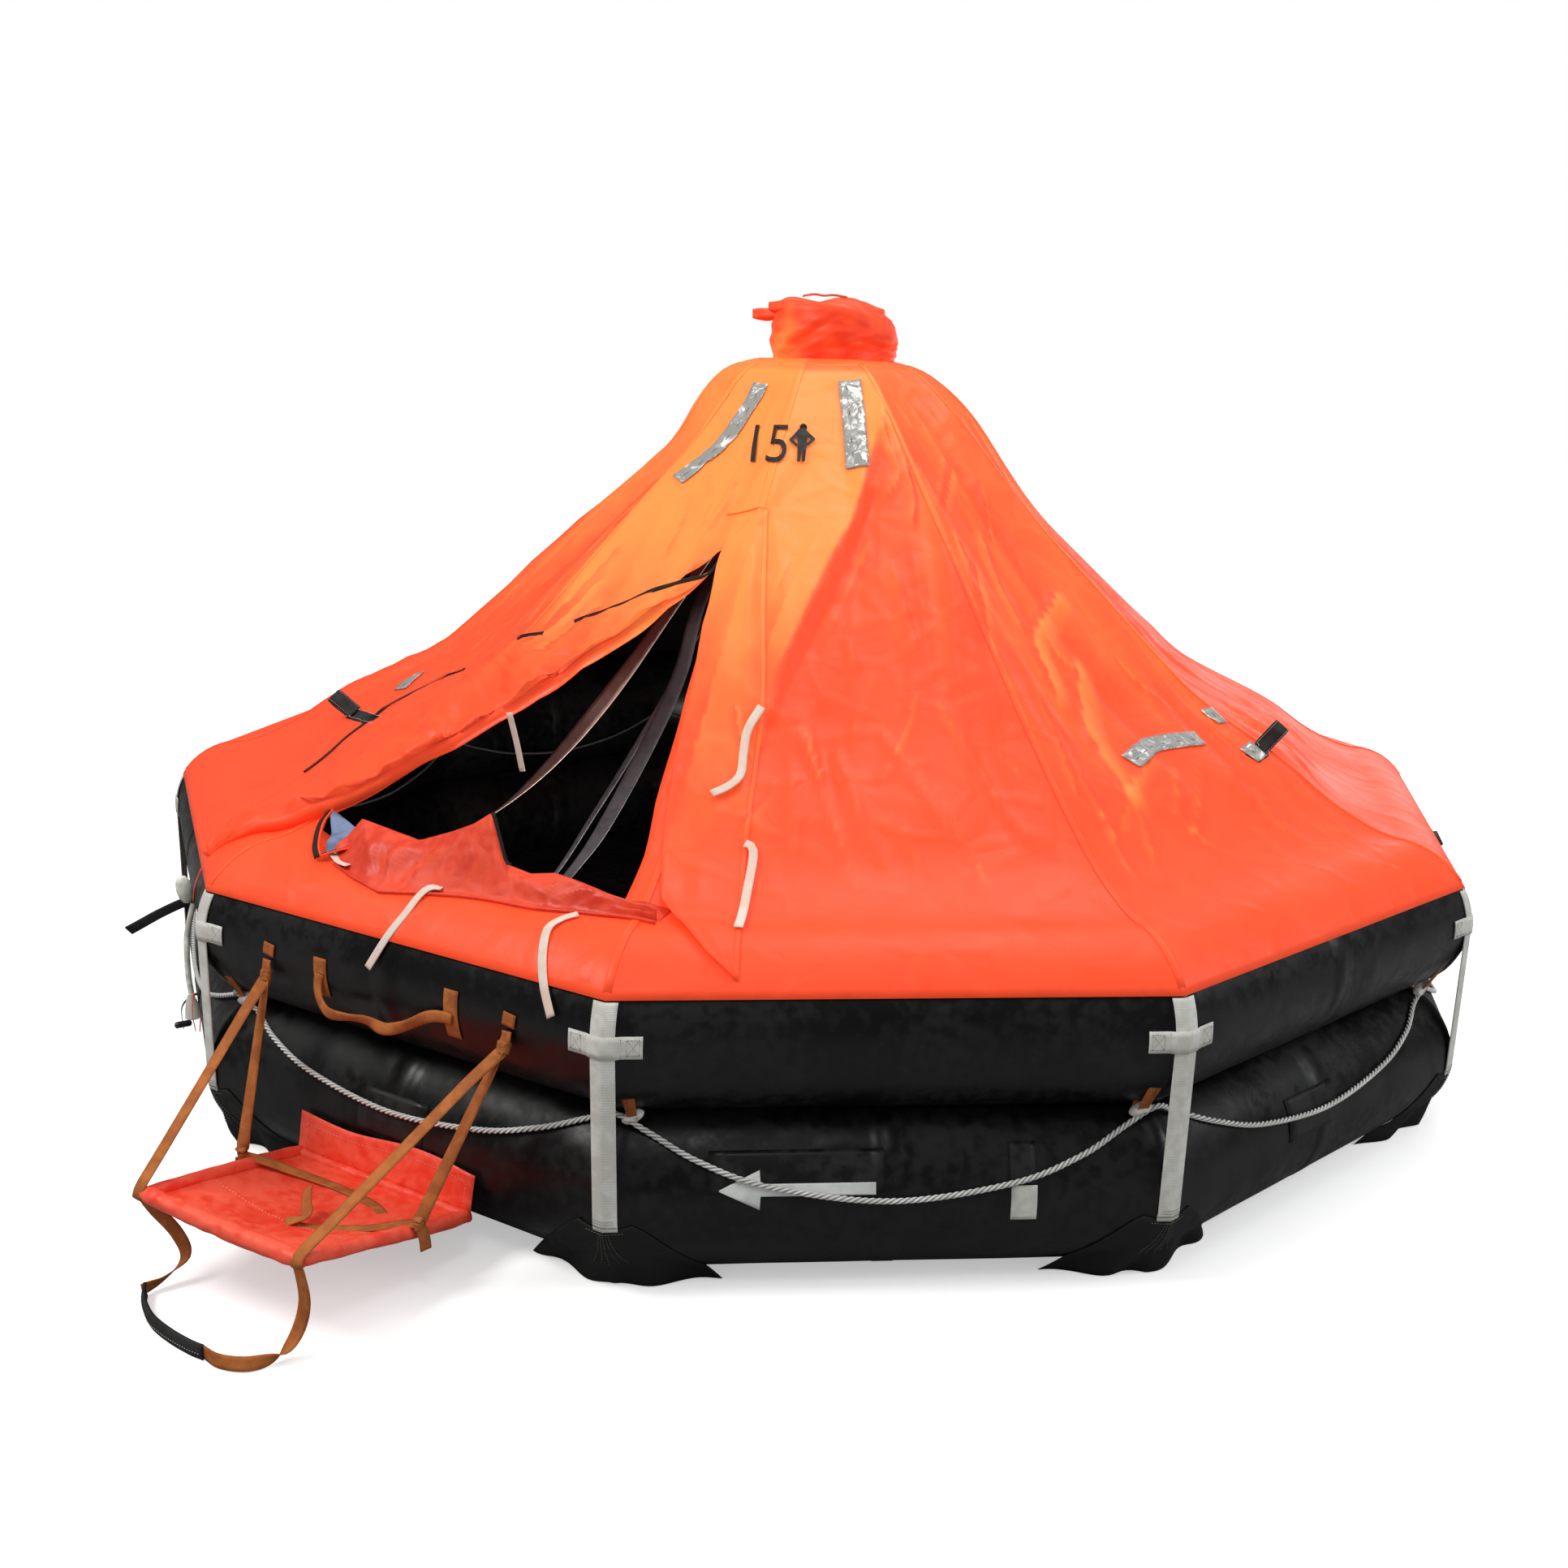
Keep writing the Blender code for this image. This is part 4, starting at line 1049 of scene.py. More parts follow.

# Folds seen on the cover: side, places from the top down as run and apothem, height, widths of
# its left and right flanks, and the painted light (paler) or shade (darker) on each flank
SEEN_FOLDS = [
    (1, LONG_CREASE, 0.012, 0.10, 0.030, 0.0, -0.10),
    (1, [(0.063, 0.584), (-0.018, 0.780), (-0.088, 0.861), (-0.168, 0.986)],
     -0.008, 0.030, 0.060, -0.30, -0.04),
    (1, [(0.098, 0.426), (0.118, 0.478), (0.134, 0.530), (0.125, 0.557), (0.104, 0.574)],
     0.004, 0.020, 0.014, 0.22, -0.12),
    (1, [(0.118, 0.405), (0.140, 0.484), (0.150, 0.516)], 0.004, 0.018, 0.014, 0.22, -0.12),
    (1, [(0.150, 0.526), (0.162, 0.595), (0.150, 0.639)], 0.006, 0.022, 0.012, 0.12, -0.38),
    (1, [(0.100, 0.747), (0.111, 0.819), (0.127, 0.904)], 0.006, 0.035, 0.014, 0.12, -0.38),
    (1, [(-0.032, 0.883), (-0.011, 0.935)], 0.004, 0.014, 0.012, 0.10, -0.30),
    (1, [(0.296, 0.952), (0.230, 0.967), (0.171, 0.992)], 0.004, 0.012, 0.020, 0.12, -0.30),
    (1, [(0.017, 0.956), (-0.011, 1.024), (-0.033, 1.077)], 0.005, 0.014, 0.030, -0.35, 0.12),
    (1, [(-0.114, 0.937), (-0.085, 1.011)], 0.004, 0.012, 0.012, 0.10, -0.28),
    (1, [(-0.023, 0.880), (-0.009, 0.945)], 0.004, 0.012, 0.012, 0.10, -0.28),
    (1, [(-0.138, 1.068), (-0.105, 1.177), (-0.088, 1.269), (-0.066, 1.347), (-0.049, 1.420)],
     0.008, 0.022, 0.016, -0.25, 0.34),
    (1, [(-0.119, 1.067), (-0.105, 1.177)], 0.005, 0.014, 0.012, 0.28, -0.20),
    (1, [(-0.064, 1.124), (-0.039, 1.211), (-0.016, 1.275), (0.028, 1.368)],
     0.007, 0.030, 0.016, 0.14, -0.32),
    (1, [(-0.163, 1.159), (-0.168, 1.333), (-0.160, 1.416)], 0.006, 0.020, 0.024, 0.22, -0.16),
    (1, [(0.031, 1.077), (0.085, 1.157), (0.129, 1.250), (0.132, 1.275)],
     0.006, 0.018, 0.024, -0.26, 0.22),
    (1, [(0.018, 1.257), (0.059, 1.275), (0.075, 1.333), (0.087, 1.396), (0.090, 1.440)],
     0.006, 0.022, 0.016, 0.22, -0.22),
    (1, [(0.218, 1.122), (0.246, 1.186), (0.273, 1.244), (0.309, 1.287)],
     0.006, 0.016, 0.022, -0.26, 0.14),
    (1, [(0.278, 1.107), (0.314, 1.158)], 0.004, 0.016, 0.012, 0.32, -0.20),
    (1, [(0.284, 1.327), (0.324, 1.397), (0.360, 1.501)], 0.005, 0.022, 0.012, 0.10, -0.30),
    (1, [(0.197, 1.333), (0.221, 1.412)], 0.004, 0.014, 0.012, 0.42, -0.10),
    (1, [(-0.200, 1.186), (-0.236, 1.231), (-0.266, 1.269)], 0.005, 0.012, 0.020, -0.30, 0.10),
    (1, [(-0.145, 0.740), (-0.168, 0.789)], 0.003, 0.012, 0.012, 0.10, -0.25),
    (1, [(-0.071, 0.491), (-0.119, 0.561), (-0.190, 0.652)], -0.005, 0.030, 0.040, -0.20, 0.12),
    (1, [(-0.068, 0.660), (-0.142, 0.790), (-0.193, 0.894)], 0.004, 0.030, 0.030, -0.12, 0.12),
    (2, [(-0.011, 0.472), (-0.140, 0.582)], 0.004, 0.014, 0.014, 0.10, -0.20),
    (2, [(-0.010, 0.495), (-0.130, 0.589)], 0.004, 0.010, 0.016, -0.20, 0.25),
    (2, [(-0.170, 0.665), (-0.200, 0.740)], 0.005, 0.016, 0.014, 0.20, -0.20),
    (2, [(-0.061, 0.655), (-0.092, 0.713), (-0.121, 0.784), (-0.126, 0.840)],
     0.006, 0.030, 0.016, 0.25, -0.22),
    (2, [(0.065, 0.780), (-0.107, 0.865), (-0.131, 0.908), (-0.158, 0.974)],
     0.008, 0.020, 0.045, -0.20, 0.42),
    (2, [(-0.019, 0.926), (-0.146, 1.068), (-0.195, 1.229)], 0.009, 0.022, 0.055, -0.15, 0.42),
    (2, [(-0.310, 1.264), (-0.340, 1.335), (-0.355, 1.388)], 0.006, 0.018, 0.014, 0.32, -0.20),
    (2, [(-0.037, 1.162), (-0.195, 1.229), (-0.276, 1.277)], 0.006, 0.014, 0.030, -0.20, 0.28),
    (2, [(-0.208, 1.283), (-0.269, 1.373), (-0.350, 1.470)], 0.005, 0.016, 0.016, 0.20, -0.20),
    (2, [(0.020, 1.198), (-0.093, 1.302)], 0.006, 0.014, 0.014, 0.34, -0.12),
    (2, [(0.104, 1.213), (-0.023, 1.300), (-0.098, 1.344)], 0.006, 0.012, 0.014, 0.34, -0.10),
    (2, [(0.208, 1.301), (0.182, 1.405), (0.105, 1.548)], 0.008, 0.030, 0.020, 0.20, -0.12),
    (2, [(0.171, 1.253), (0.134, 1.371), (0.098, 1.482)], 0.006, 0.020, 0.020, 0.10, -0.20),
    (2, [(0.30, 1.10), (0.36, 1.25), (0.40, 1.42)], 0.008, 0.020, 0.020, 0.10, -0.15),
    (2, [(-0.105, 1.410), (-0.159, 1.490)], 0.004, 0.014, 0.012, 0.32, -0.10),
    (3, [(-0.20, 1.15), (-0.26, 1.32), (-0.24, 1.48)], 0.009, 0.022, 0.020, 0.12, -0.15),
    (3, [(-0.12, 1.14), (-0.15, 1.35), (-0.10, 1.52)], 0.009, 0.020, 0.022, 0.12, -0.15),
    (3, [(-0.05, 1.16), (-0.04, 1.34), (0.02, 1.53)], 0.009, 0.020, 0.020, 0.12, -0.15),
    (3, [(-0.28, 1.22), (-0.36, 1.38), (-0.40, 1.52)], 0.009, 0.020, 0.018, 0.12, -0.15),
    (3, [(0.06, 1.10), (0.12, 1.30), (0.20, 1.50)], 0.007, 0.022, 0.020, 0.12, -0.15),
    (9, [(0.050, 0.500), (0.025, 0.644), (0.026, 0.724), (0.035, 0.830), (0.070, 0.900)],
     -0.010, 0.032, 0.032, -0.45, -0.45),
    (9, [(-0.068, 0.834), (0.055, 0.935)], 0.005, 0.020, 0.014, 0.12, -0.32),
    (9, [(0.110, 0.560), (0.150, 0.700), (0.180, 0.820)], 0.006, 0.040, 0.030, 0.10, -0.15),
    (0, [(-0.104, 0.400), (-0.150, 0.520), (-0.200, 0.640)], 0.006, 0.030, 0.030, 0.14, -0.15),
    (0, [(-0.060, 0.340), (0.004, 0.461)], 0.003, 0.012, 0.010, 0.10, -0.30),
    (0, [(-0.065, 0.527), (-0.021, 0.624), (-0.014, 0.700)], 0.004, 0.014, 0.014, 0.10, -0.22),
    (0, [(-0.074, 0.444), (0.033, 0.565), (0.045, 0.624)], 0.004, 0.012, 0.012, -0.22, 0.12),
    (0, [(0.060, 0.500), (0.085, 0.590), (0.070, 0.650)], 0.004, 0.014, 0.012, 0.12, -0.22),
]


def drape(side, run, apothem):
    """Soft folds that hang down a panel, from -1 to 1."""
    return noise.noise(Vector((run * 13.0 + side * 9.1, apothem * 1.3, side * 2.9)))


def panel_shift(side, run, apothem, z):
    """Broad folds that stand proud of a panel or sink into it."""
    slope = eased((z - 0.76) / 0.10) * eased((1.70 - z) / 0.12)
    swell = noise.noise(Vector((run * 2.6 + side * 3.7, apothem * 2.2, side * 1.3)))
    return slope * (0.008 * swell + 0.0075 * (1 - abs(drape(side, run, apothem)) * 2.2))


CREASES_PER_SIDE = (9, 5, 8, 12, 22, 22, 22, 22, 18, 12)


def panel_creases(side):
    """Short steep creases scattered over a panel, in the manner of the seen ones."""
    draw = random.Random(41 + side)
    made = []
    for _ in range(CREASES_PER_SIDE[side]):
        apothem = draw.uniform(0.50, 1.36)
        share = draw.uniform(-0.85, 0.85)
        run = share * apothem * TAN_HALF
        lean = draw.choice((-1, 1)) * draw.uniform(0.15, 0.75)
        length = draw.uniform(0.06, 0.20)
        bow = draw.uniform(-0.012, 0.012)
        points = [(run, apothem), (run + lean * length / 2 + bow, apothem + length / 2),
                  (run + lean * length, apothem + length)]
        way = draw.choice((-1, 1))
        # Painted shading for the crease: one flank lighter, the other darker.
        made.append((side, points, draw.uniform(0.003, 0.006), draw.uniform(0.014, 0.030),
                     draw.uniform(0.010, 0.022), 0.20 * way, -0.24 * way))
    return made


ALL_FOLDS = [[fold for fold in SEEN_FOLDS if fold[0] == side] + panel_creases(side)
             for side in range(SIDES)]


def fold_effect(side, run, apothem):
    """Height of the single folds at a place, and the painted light or shade they give the cloth
    there.
    """
    lift, pale = 0.0, 0.0
    for _, points, height, left, right, left_painted_shading, right_painted_shading in ALL_FOLDS[side]:
        reach = max(left, right)
        if not points[0][1] - reach < apothem < points[-1][1] + reach:
            continue
        away, sign = polyline_distance(run, apothem, points)
        width = left if sign > 0 else right
        if away < width:
            share = 1 - away / width
            lift += height * share ** 1.3
            # Painted shading: one flank paler, the other darker.
            pale += (left_painted_shading if sign > 0 else right_painted_shading) * share ** 0.6
    return lift, pale


PROFILE = even_profile(COVER_ROWS)


def reach_of(side, share, apothem, z):
    """Apothem of the cover on a side at a share of its half width and a profile place."""
    low, high = ridge_apothem(side, apothem, z), ridge_apothem(side + 1, apothem, z)
    middle = (low + high) / 2 - PANEL_SAG * hollow(z)
    return middle + ((low if share < 0 else high) - middle) * min(abs(share), 1.0) ** 1.7


def folds(side, share, run, apothem, z):
    """Height of all folds at a place, dying out at the ridges."""
    low = eased((z - 0.73) / 0.06)
    return eased((1 - abs(share)) / 0.10) * (panel_shift(side, run, apothem, z)
                                             + fold_effect(side, run, apothem)[0] * low)


def cover_spot(side, share, row, lift=0.0):
    """Point of the cover: a side, a share of its half width and a profile row."""
    apothem, z, n_out, n_up = row
    reach = reach_of(side, share, apothem, z)
    run = share * reach * TAN_HALF
    total = lift + folds(side, share, run, reach, z)
    return on_side(side, reach + n_out * total, run, z + n_up * total)


def above(spot, lift=0.0):
    """Point of the cover over a place in plan, and the cover's normal there."""
    side = round(math.atan2(spot.x, -spot.y) / (2 * HALF_STEP)) % SIDES
    azimuth = side_azimuth(side)
    apothem, run = spot.dot(outward(azimuth)), spot.dot(along(azimuth))
    share = run / (apothem * TAN_HALF)
    low, high = 0, len(PROFILE) - 1
    while high - low > 1:
        middle = (low + high) // 2
        if reach_of(side, share, *PROFILE[middle][:2]) > apothem:
            low = middle
        else:
            high = middle
    a, b = reach_of(side, share, *PROFILE[low][:2]), reach_of(side, share, *PROFILE[high][:2])
    blend = min(max((a - apothem) / (a - b), 0), 1)
    row = [p + (q - p) * blend for p, q in zip(PROFILE[low], PROFILE[high])]
    total = lift + folds(side, share, run, apothem, row[1])
    place = on_side(side, apothem + row[2] * total, run, row[1] + row[3] * total)
    normal = outward(azimuth) * row[2] + Vector((0, 0, row[3]))
    return place, normal.normalized()


def on_cover(side, apothem, run, lift=0.0):
    return above(on_side(side, apothem, run, 0), lift)


def seen_on_cover(x, y, lift):
    """Point of the cover, near the peak, behind a place of the 1932-wide picture."""
    scale = SENSOR_WIDTH / PICTURE_WIDTH
    way = CAMERA_TURN @ Vector(((x - PICTURE_WIDTH / 2) * scale,
                                (PICTURE_WIDTH / 2 - y) * scale, -CAMERA_LENS))
    way.normalize()
    near, far = 3.45, 4.15
    for _ in range(18):
        middle = (near + far) / 2
        spot = CAMERA_PLACE + way * middle
        if above(spot)[0].z < spot.z:
            near = middle
        else:
            far = middle
    return above(CAMERA_PLACE + way * near, lift)[0]


def daylight(spot):
    """Painted light of the cover at a point, from 0 to 1: the daylight that shows through it, and
    painted light and shade on its folds.
    """
    azimuth = math.atan2(spot.x, -spot.y)
    side = round(azimuth / (2 * HALF_STEP)) % SIDES
    turn = azimuth - side_azimuth(side if side < 6 else side - SIDES)
    radius = math.hypot(spot.x, spot.y)
    apothem, run = radius * math.cos(turn), radius * math.sin(turn)
    high = eased((spot.z - 0.90) / 0.55)
    if side == 0:
        base = 0.10 + 0.85 * high + 0.25 * eased((spot.z - 1.45) / 0.2)
    elif side == 9:
        base = 0.02 + 0.55 * high + 0.20 * eased((spot.z - 1.45) / 0.2)
    elif side == 1:
        away, sign = polyline_distance(run, apothem, LONG_CREASE)
        lit = 0.35 + 0.65 * high
        shade = 0.22 * eased((spot.z - 0.95) / 0.45) + 0.62 * eased((spot.z - 1.48) / 0.20)
        edge = eased(0.5 + sign * away / 0.022)
        low = eased((apothem - 1.02) / 0.25)
        inside = (1 - low) * edge + low * eased((-run - 0.19) / 0.05) * eased((1.5 - apothem) / 0.4)
        base = shade + (lit - shade) * inside
    elif side == 2:
        base = 0.10 + 0.20 * eased((spot.z - 0.80) / 0.3) + 0.12 * eased((spot.z - 1.40) / 0.3)
    else:
        base = 0.08 + 0.30 * eased((spot.z - 1.05) / 0.55)
    # Painted shade: darker close to the peak on sides 0 and 1.
    if side in (0, 1):
        base -= 0.55 * eased((spot.z - 1.700) / 0.018)
    # Painted light and shade along the hanging folds and on the single folds.
    slope = eased((spot.z - 0.80) / 0.15) * eased((1.66 - spot.z) / 0.15)
    hung = drape(side, run, apothem)
    base += 0.26 * slope * hung
    base += fold_effect(side, run, apothem)[1] * eased((spot.z - 0.70) / 0.06)
    return min(max(base, 0.0), 1.0)


def inside_outline(apothem, share, outline):
    hit = False
    j = len(outline) - 1
    for i in range(len(outline)):
        (xi, yi), (xj, yj) = outline[i], outline[j]
        if (yi > share) != (yj > share):
            if apothem < (xj - xi) * (share - yi) / (yj - yi) + xi:
                hit = not hit
        j = i
    return hit


def nearest_on_outline(x, y, outline):
    best, spot = 1e9, None
    for (ax, ay), (bx, by) in zip(outline, outline[1:] + outline[:1]):
        dx, dy = bx - ax, by - ay
        t = min(max(((x - ax) * dx + (y - ay) * dy) / (dx * dx + dy * dy), 0), 1)
        px, py = ax + t * dx, ay + t * dy
        d = math.hypot(x - px, y - py)
        if d < best:
            best, spot = d, (px, py)
    return spot


def row_at(rows, apothem):
    """Profile row, interpolated, whose ridge apothem is this one."""
    for a, b in zip(rows, rows[1:]):
        if a[0] >= apothem >= b[0]:
            t = (a[0] - apothem) / (a[0] - b[0])
            return tuple(a[k] + (b[k] - a[k]) * t for k in range(4))
    return rows[-1]


def make_cover():
    """The whole cover as one sewn sheet with its two doorways cut out."""
    rows = PROFILE
    columns = [(side, -1 + 2 * j / count) for side, count in enumerate(COVER_COLUMNS)
               for j in range(count)]
    around = len(columns)
    places = [(side, share, row) for row in rows for side, share in columns]
    gone = [False] * len(places)
    for index, (side, share, row) in enumerate(places):
        if side in (RAMP_SIDE, LADDER_SIDE) and row[0] < 1.49:
            gone[index] = inside_outline(row[0], share, DOOR_OUTLINE)
    quads = grid_faces(len(rows), around, closed=True)
    faces = [quad for quad in quads if not any(gone[q] for q in quad)]
    # Points of the faces that meet the doorway are drawn to its outline.
    used = {q for quad in faces for q in quad}
    rim = {q for quad in quads if any(gone[q] for q in quad) for q in quad if q in used}
    outline = [(a, share * a * TAN_HALF) for a, share in DOOR_OUTLINE]
    verts = []
    for index, (side, share, row) in enumerate(places):
        if index in rim and side in (RAMP_SIDE, LADDER_SIDE):
            a, run = nearest_on_outline(row[0], share * (row[0] * TAN_HALF), outline)
            row, share = row_at(rows, a), run / (a * TAN_HALF)
        verts.append(cover_spot(side, share, row))
    obj = mesh_object("cover_cloth", verts, faces, COVER, "raft")
    with open_mesh(obj) as bm:
        loose = [v for v in bm.verts if not v.link_faces]
        bmesh.ops.delete(bm, geom=loose, context="VERTS")
        face_up(bm)
    shade_by_daylight(obj)
    obj.data.materials.append(LINING)
    wall = obj.modifiers.new("thickness", "SOLIDIFY")
    wall.thickness = COVER_THICKNESS
    wall.offset = -1.0
    wall.material_offset = 1
    wall.material_offset_rim = 0
    apply_modifiers(obj)
    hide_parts(*["canopy_panel_%d" % side for side in range(SIDES)])


def cover_band(name, places, width, material, lift, thickness, columns=4, step=0.012):
    """Flat band laid along the cover; places are side, apothem and run."""
    plan = smooth_path([on_side(side, a, run, 0) for side, a, run in places], step)
    centres = [above(spot) for spot in plan]
    rows, normals = [], []
    for i, (spot, normal) in enumerate(centres):
        ahead = centres[min(i + 1, len(centres) - 1)][0] - centres[max(i - 1, 0)][0]
        across = normal.cross(ahead).normalized()
        row = []
        for c in range(columns + 1):
            share = c / columns - 0.5
            row.append(above(spot + across * (share * width), lift)[0])
        rows.append(row)
        normals.append(normal)
    band = cloth_grid(name, rows, material, thickness, "raft", offset=1.0)
    return band, rows, normals


def make_seams():
    """Felled seams up every ridge and the ring seam round the peak."""
    for corner in range(SIDES):
        rows = []
        out = outward(corner_azimuth(corner))
        across = along(corner_azimuth(corner))
        reach = 1.640
        while reach > 0.21:
            spot = out * (reach / COS_HALF)
            rows.append([above(spot + across * s, lift)[0]
                         for s, lift in ((-0.0080, 0.0002), (-0.0065, 0.0016),
                                         (-0.0015, 0.0010), (0.0015, 0.0010),
                                         (0.0065, 0.0016), (0.0080, 0.0002))])
            reach -= 0.018
        seam = cloth_grid("ridge_seam_%d" % corner, rows, COVER, 0.0006, "raft",
                          offset=1.0)
        shade_by_daylight(seam, 0.10)
    rows = []
    for k in range(121):
        azimuth = 2 * math.pi * k / 120
        out = outward(azimuth)
        rows.append([above(out * r, lift)[0] for r, lift in
                     ((0.236, 0.0002), (0.232, 0.0014), (0.226, 0.0014), (0.222, 0.0002))])
    seam = cloth_grid("peak_ring_seam", rows, COVER, 0.0006, "raft", offset=1.0)
    shade_by_daylight(seam, 0.05)


def corner_place(corner, apothem, reach, z):
    """Point at an apothem and height, a distance round a mitred corner."""
    sign = -1 if reach < 0 else 1
    azimuth = corner_azimuth(corner) + sign * HALF_STEP
    spot = outward(azimuth) * apothem + along(azimuth) * (reach - sign * apothem * TAN_HALF)
    spot.z = z
    return spot


def make_straps():
    """Upright strap over both tubes at each corner, with its stitched keeper."""
    shares = (-1.0, -0.7, -0.4, -0.15, 0.0, 0.15, 0.4, 0.7, 1.0)
    thread = Stitches("strap_stitching", GREY_THREAD)
    for corner in range(SIDES):
        lean = 0.004 * math.sin(corner * 2.1)
        path = []
        for centre_z, degrees in ((LOWER_TUBE_Z, (99, 93, 88)),
                                  (UPPER_TUBE_Z, (93, 87, 81, 74, 67, 61))):
            for turn in degrees:
                radius = TUBE_RADIUS + 0.0026
                angle = math.radians(turn)
                path.append((TUBE_APOTHEM + radius * math.sin(angle), 0,
                             centre_z + radius * math.cos(angle)))
        rows = []
        for spot in smooth_path(path, 0.008):
            drift = lean * (0.5 - spot.z) * 3
            rows.append([corner_place(corner, spot.x, s * STRAP_WIDTH / 2 + drift, spot.z)
                         for s in shares])
        strap = cloth_grid("corner_strap_webbing_%d" % corner, rows, WHITE_STRAP,
                           WEBBING_THICKNESS, "raft")
        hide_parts("corner_strap_%d" % corner)

        def keeper_spot(reach, dz, lift):
            angle = tube_angle(UPPER_TUBE_Z, KEEPER_Z + dz)
            hump = 0.0030 * eased((0.036 - abs(reach)) / 0.010)
            radius = TUBE_RADIUS + 0.0022 + hump + lift
            return corner_place(corner, TUBE_APOTHEM + radius * math.sin(angle), reach,
                                UPPER_TUBE_Z + radius * math.cos(angle))

        half = KEEPER_LENGTH / 2
        reaches = [half * (2 * k / 40 - 1) for k in range(41)]
        band = [[keeper_spot(r, KEEPER_WIDTH * (c / 4 - 0.5), 0.0) for c in range(5)]
                for r in reaches]
        cloth_grid("keeper_webbing_%d" % corner, band, WHITE_STRAP, WEBBING_THICKNESS, "raft")
        out = outward(corner_azimuth(corner))
        for sign in (-1, 1):
            low, high = sign * 0.046, sign * 0.070
            box = [(low, -0.015), (high, -0.015), (high, 0.015), (low, 0.015), (low, -0.015),
                   (high, 0.015), (high, -0.015), (low, 0.015)]
            spots = [keeper_spot(r, dz, 0.0016) for r, dz in box]
            thread.line(spots, [out] * len(spots), 0.0048, 0.0036, 0.0007)
            edge = [keeper_spot(sign * 0.035, dz, 0.0016) for dz in (-0.018, 0.018)]
            thread.line(edge, [out] * 2, 0.0048, 0.0036, 0.0007)
        for z in (0.166, 0.172):
            ends = [corner_place(corner, 1.6742, s, z) for s in (-0.022, -0.001)]
            ends += [corner_place(corner, 1.6742, s, z) for s in (0.001, 0.022)]
            thread.line(ends, [out] * 4, 0.0048, 0.0036, 0.0008)
    thread.finish()


def make_pockets():
    """Ballast pockets with their grey stitch lines."""
    thread = Stitches("pocket_stitching", GREY_THREAD)
    for corner in range(SIDES):
        rows = make_pocket(corner)
        out = outward(corner_azimuth(corner))
        for column in (14, 16, 18, 20, 22):
            line = []
            for i, row in enumerate(rows[:11]):
                spread = (column - 18) * (0.55 + 0.45 * (i / 10) ** 2)
                j = 18 + spread
                spot = row[int(j)].lerp(row[min(int(j) + 1, 36)], j - int(j))
                line.append(spot + out * 0.0015)
            thread.line(line, [out] * len(line), 0.0065, 0.0050, 0.0007)
        cross = [rows[1][j] + out * 0.0016 for j in range(8, 29, 2)]
        thread.line(cross, [out] * len(cross), 0.0060, 0.0046, 0.0009)
    thread.finish()


def make_beckets():
    """Webbing loops under the upper tube that carry the lifeline beside each strap."""
    for corner in range(SIDES):
        sign = 1 if corner in (0, 1, 5, 6, 9) else -1
        reach = sign * 0.034
        for k, drift in enumerate((-0.004, 0.006)):
            path = []
            for apothem, z in ((1.655, 0.448), (1.640, 0.415), (1.6235, 0.385), (1.6125, 0.362),
                               (1.600, 0.3395), (1.590, 0.350), (1.598, 0.372),
                               (1.622, 0.410), (1.650, 0.440)):
                path.append(corner_place(corner, apothem, reach + drift * (z - 0.34) * 12, z))
            normal = outward(corner_azimuth(corner) + sign * HALF_STEP)
            wide = normal.cross(Vector((0, 0, 1)))
            webbing("becket_%d_%d" % (corner, k), path, [wide] * len(path), 0.017, TAN_STRAP,
                    "raft", step=0.006, thickness=0.0018)
        knot = [corner_place(corner, 1.6015, reach + s, 0.352 + 0.004 * math.sin(s * 200))
                for s in (-0.017, -0.009, 0.0, 0.009, 0.017)]
        soft_roll("lifeline_knot_%d" % corner, smooth_path(knot, 0.003), 0.0115, WHITE_ROPE,
                  "raft", rough=0.5, gather=0.5, seed=corner * 3.0)


def make_handle(side):
    """Slack webbing handle between two stitched patches."""
    thread = Stitches("handle_stitching_%d" % side, TAN_THREAD)
    mirror = -1 if side != RAMP_SIDE else 1
    ends = ((-0.174, 0.452, 0.536), (0.180, 0.448, 0.548))
    for k, (run, low, high) in enumerate(ends):
        rows = []
        for i in range(11):
            z = high + (low - high) * i / 10
            rows.append([on_tube(side, UPPER_TUBE_Z, tube_angle(UPPER_TUBE_Z, z),
                                 mirror * (run + 0.022 * (c / 3 - 0.5) * 1.6), 0.0020)
                         for c in range(4)])
        cloth_grid("handle_patch_%d_%d" % (side, k), rows, TAN_STRAP, 0.0018, "raft")
        out = outward(side_azimuth(side))
        corners = [on_tube(side, UPPER_TUBE_Z, tube_angle(UPPER_TUBE_Z, z), mirror * (run + dx),
                           0.0034)
                   for z, dx in ((high - 0.006, -0.012), (high - 0.030, 0.012),
                                 (high - 0.030, -0.012), (high - 0.006, 0.012))]
        thread.line(corners, [out] * 4, 0.0050, 0.0040, 0.0007)
    face = TUBE_APOTHEM + TUBE_RADIUS
    droop = [(-0.175, 0.503, 0.003), (-0.178, 0.475, 0.006), (-0.165, 0.452, 0.014),
             (-0.125, 0.438, 0.028), (-0.060, 0.446, 0.033), (-0.010, 0.452, 0.036),
             (0.037, 0.445, 0.034), (0.085, 0.462, 0.026), (0.130, 0.486, 0.014),
             (0.160, 0.492, 0.008), (0.186, 0.490, 0.005)]
    path = [on_side(side, face + off, mirror * run, z) for run, z, off in droop]
    up, out = Vector((0, 0, 1)), outward(side_azimuth(side))
    wide = along(side_azimuth(side)) * mirror
    across = [wide, wide + up * 0.4, up + wide * 0.6, up, up + out * 0.7, up + out * 0.3,
              up - out * 0.5, up + out * 0.4, up, up, up]
    handle = webbing("handle_webbing_%d" % side, path, across, 0.024, TAN_STRAP, "raft",
                     step=0.006, cup=0.002)
    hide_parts("grab_handle_%d" % side)
    thread.finish()


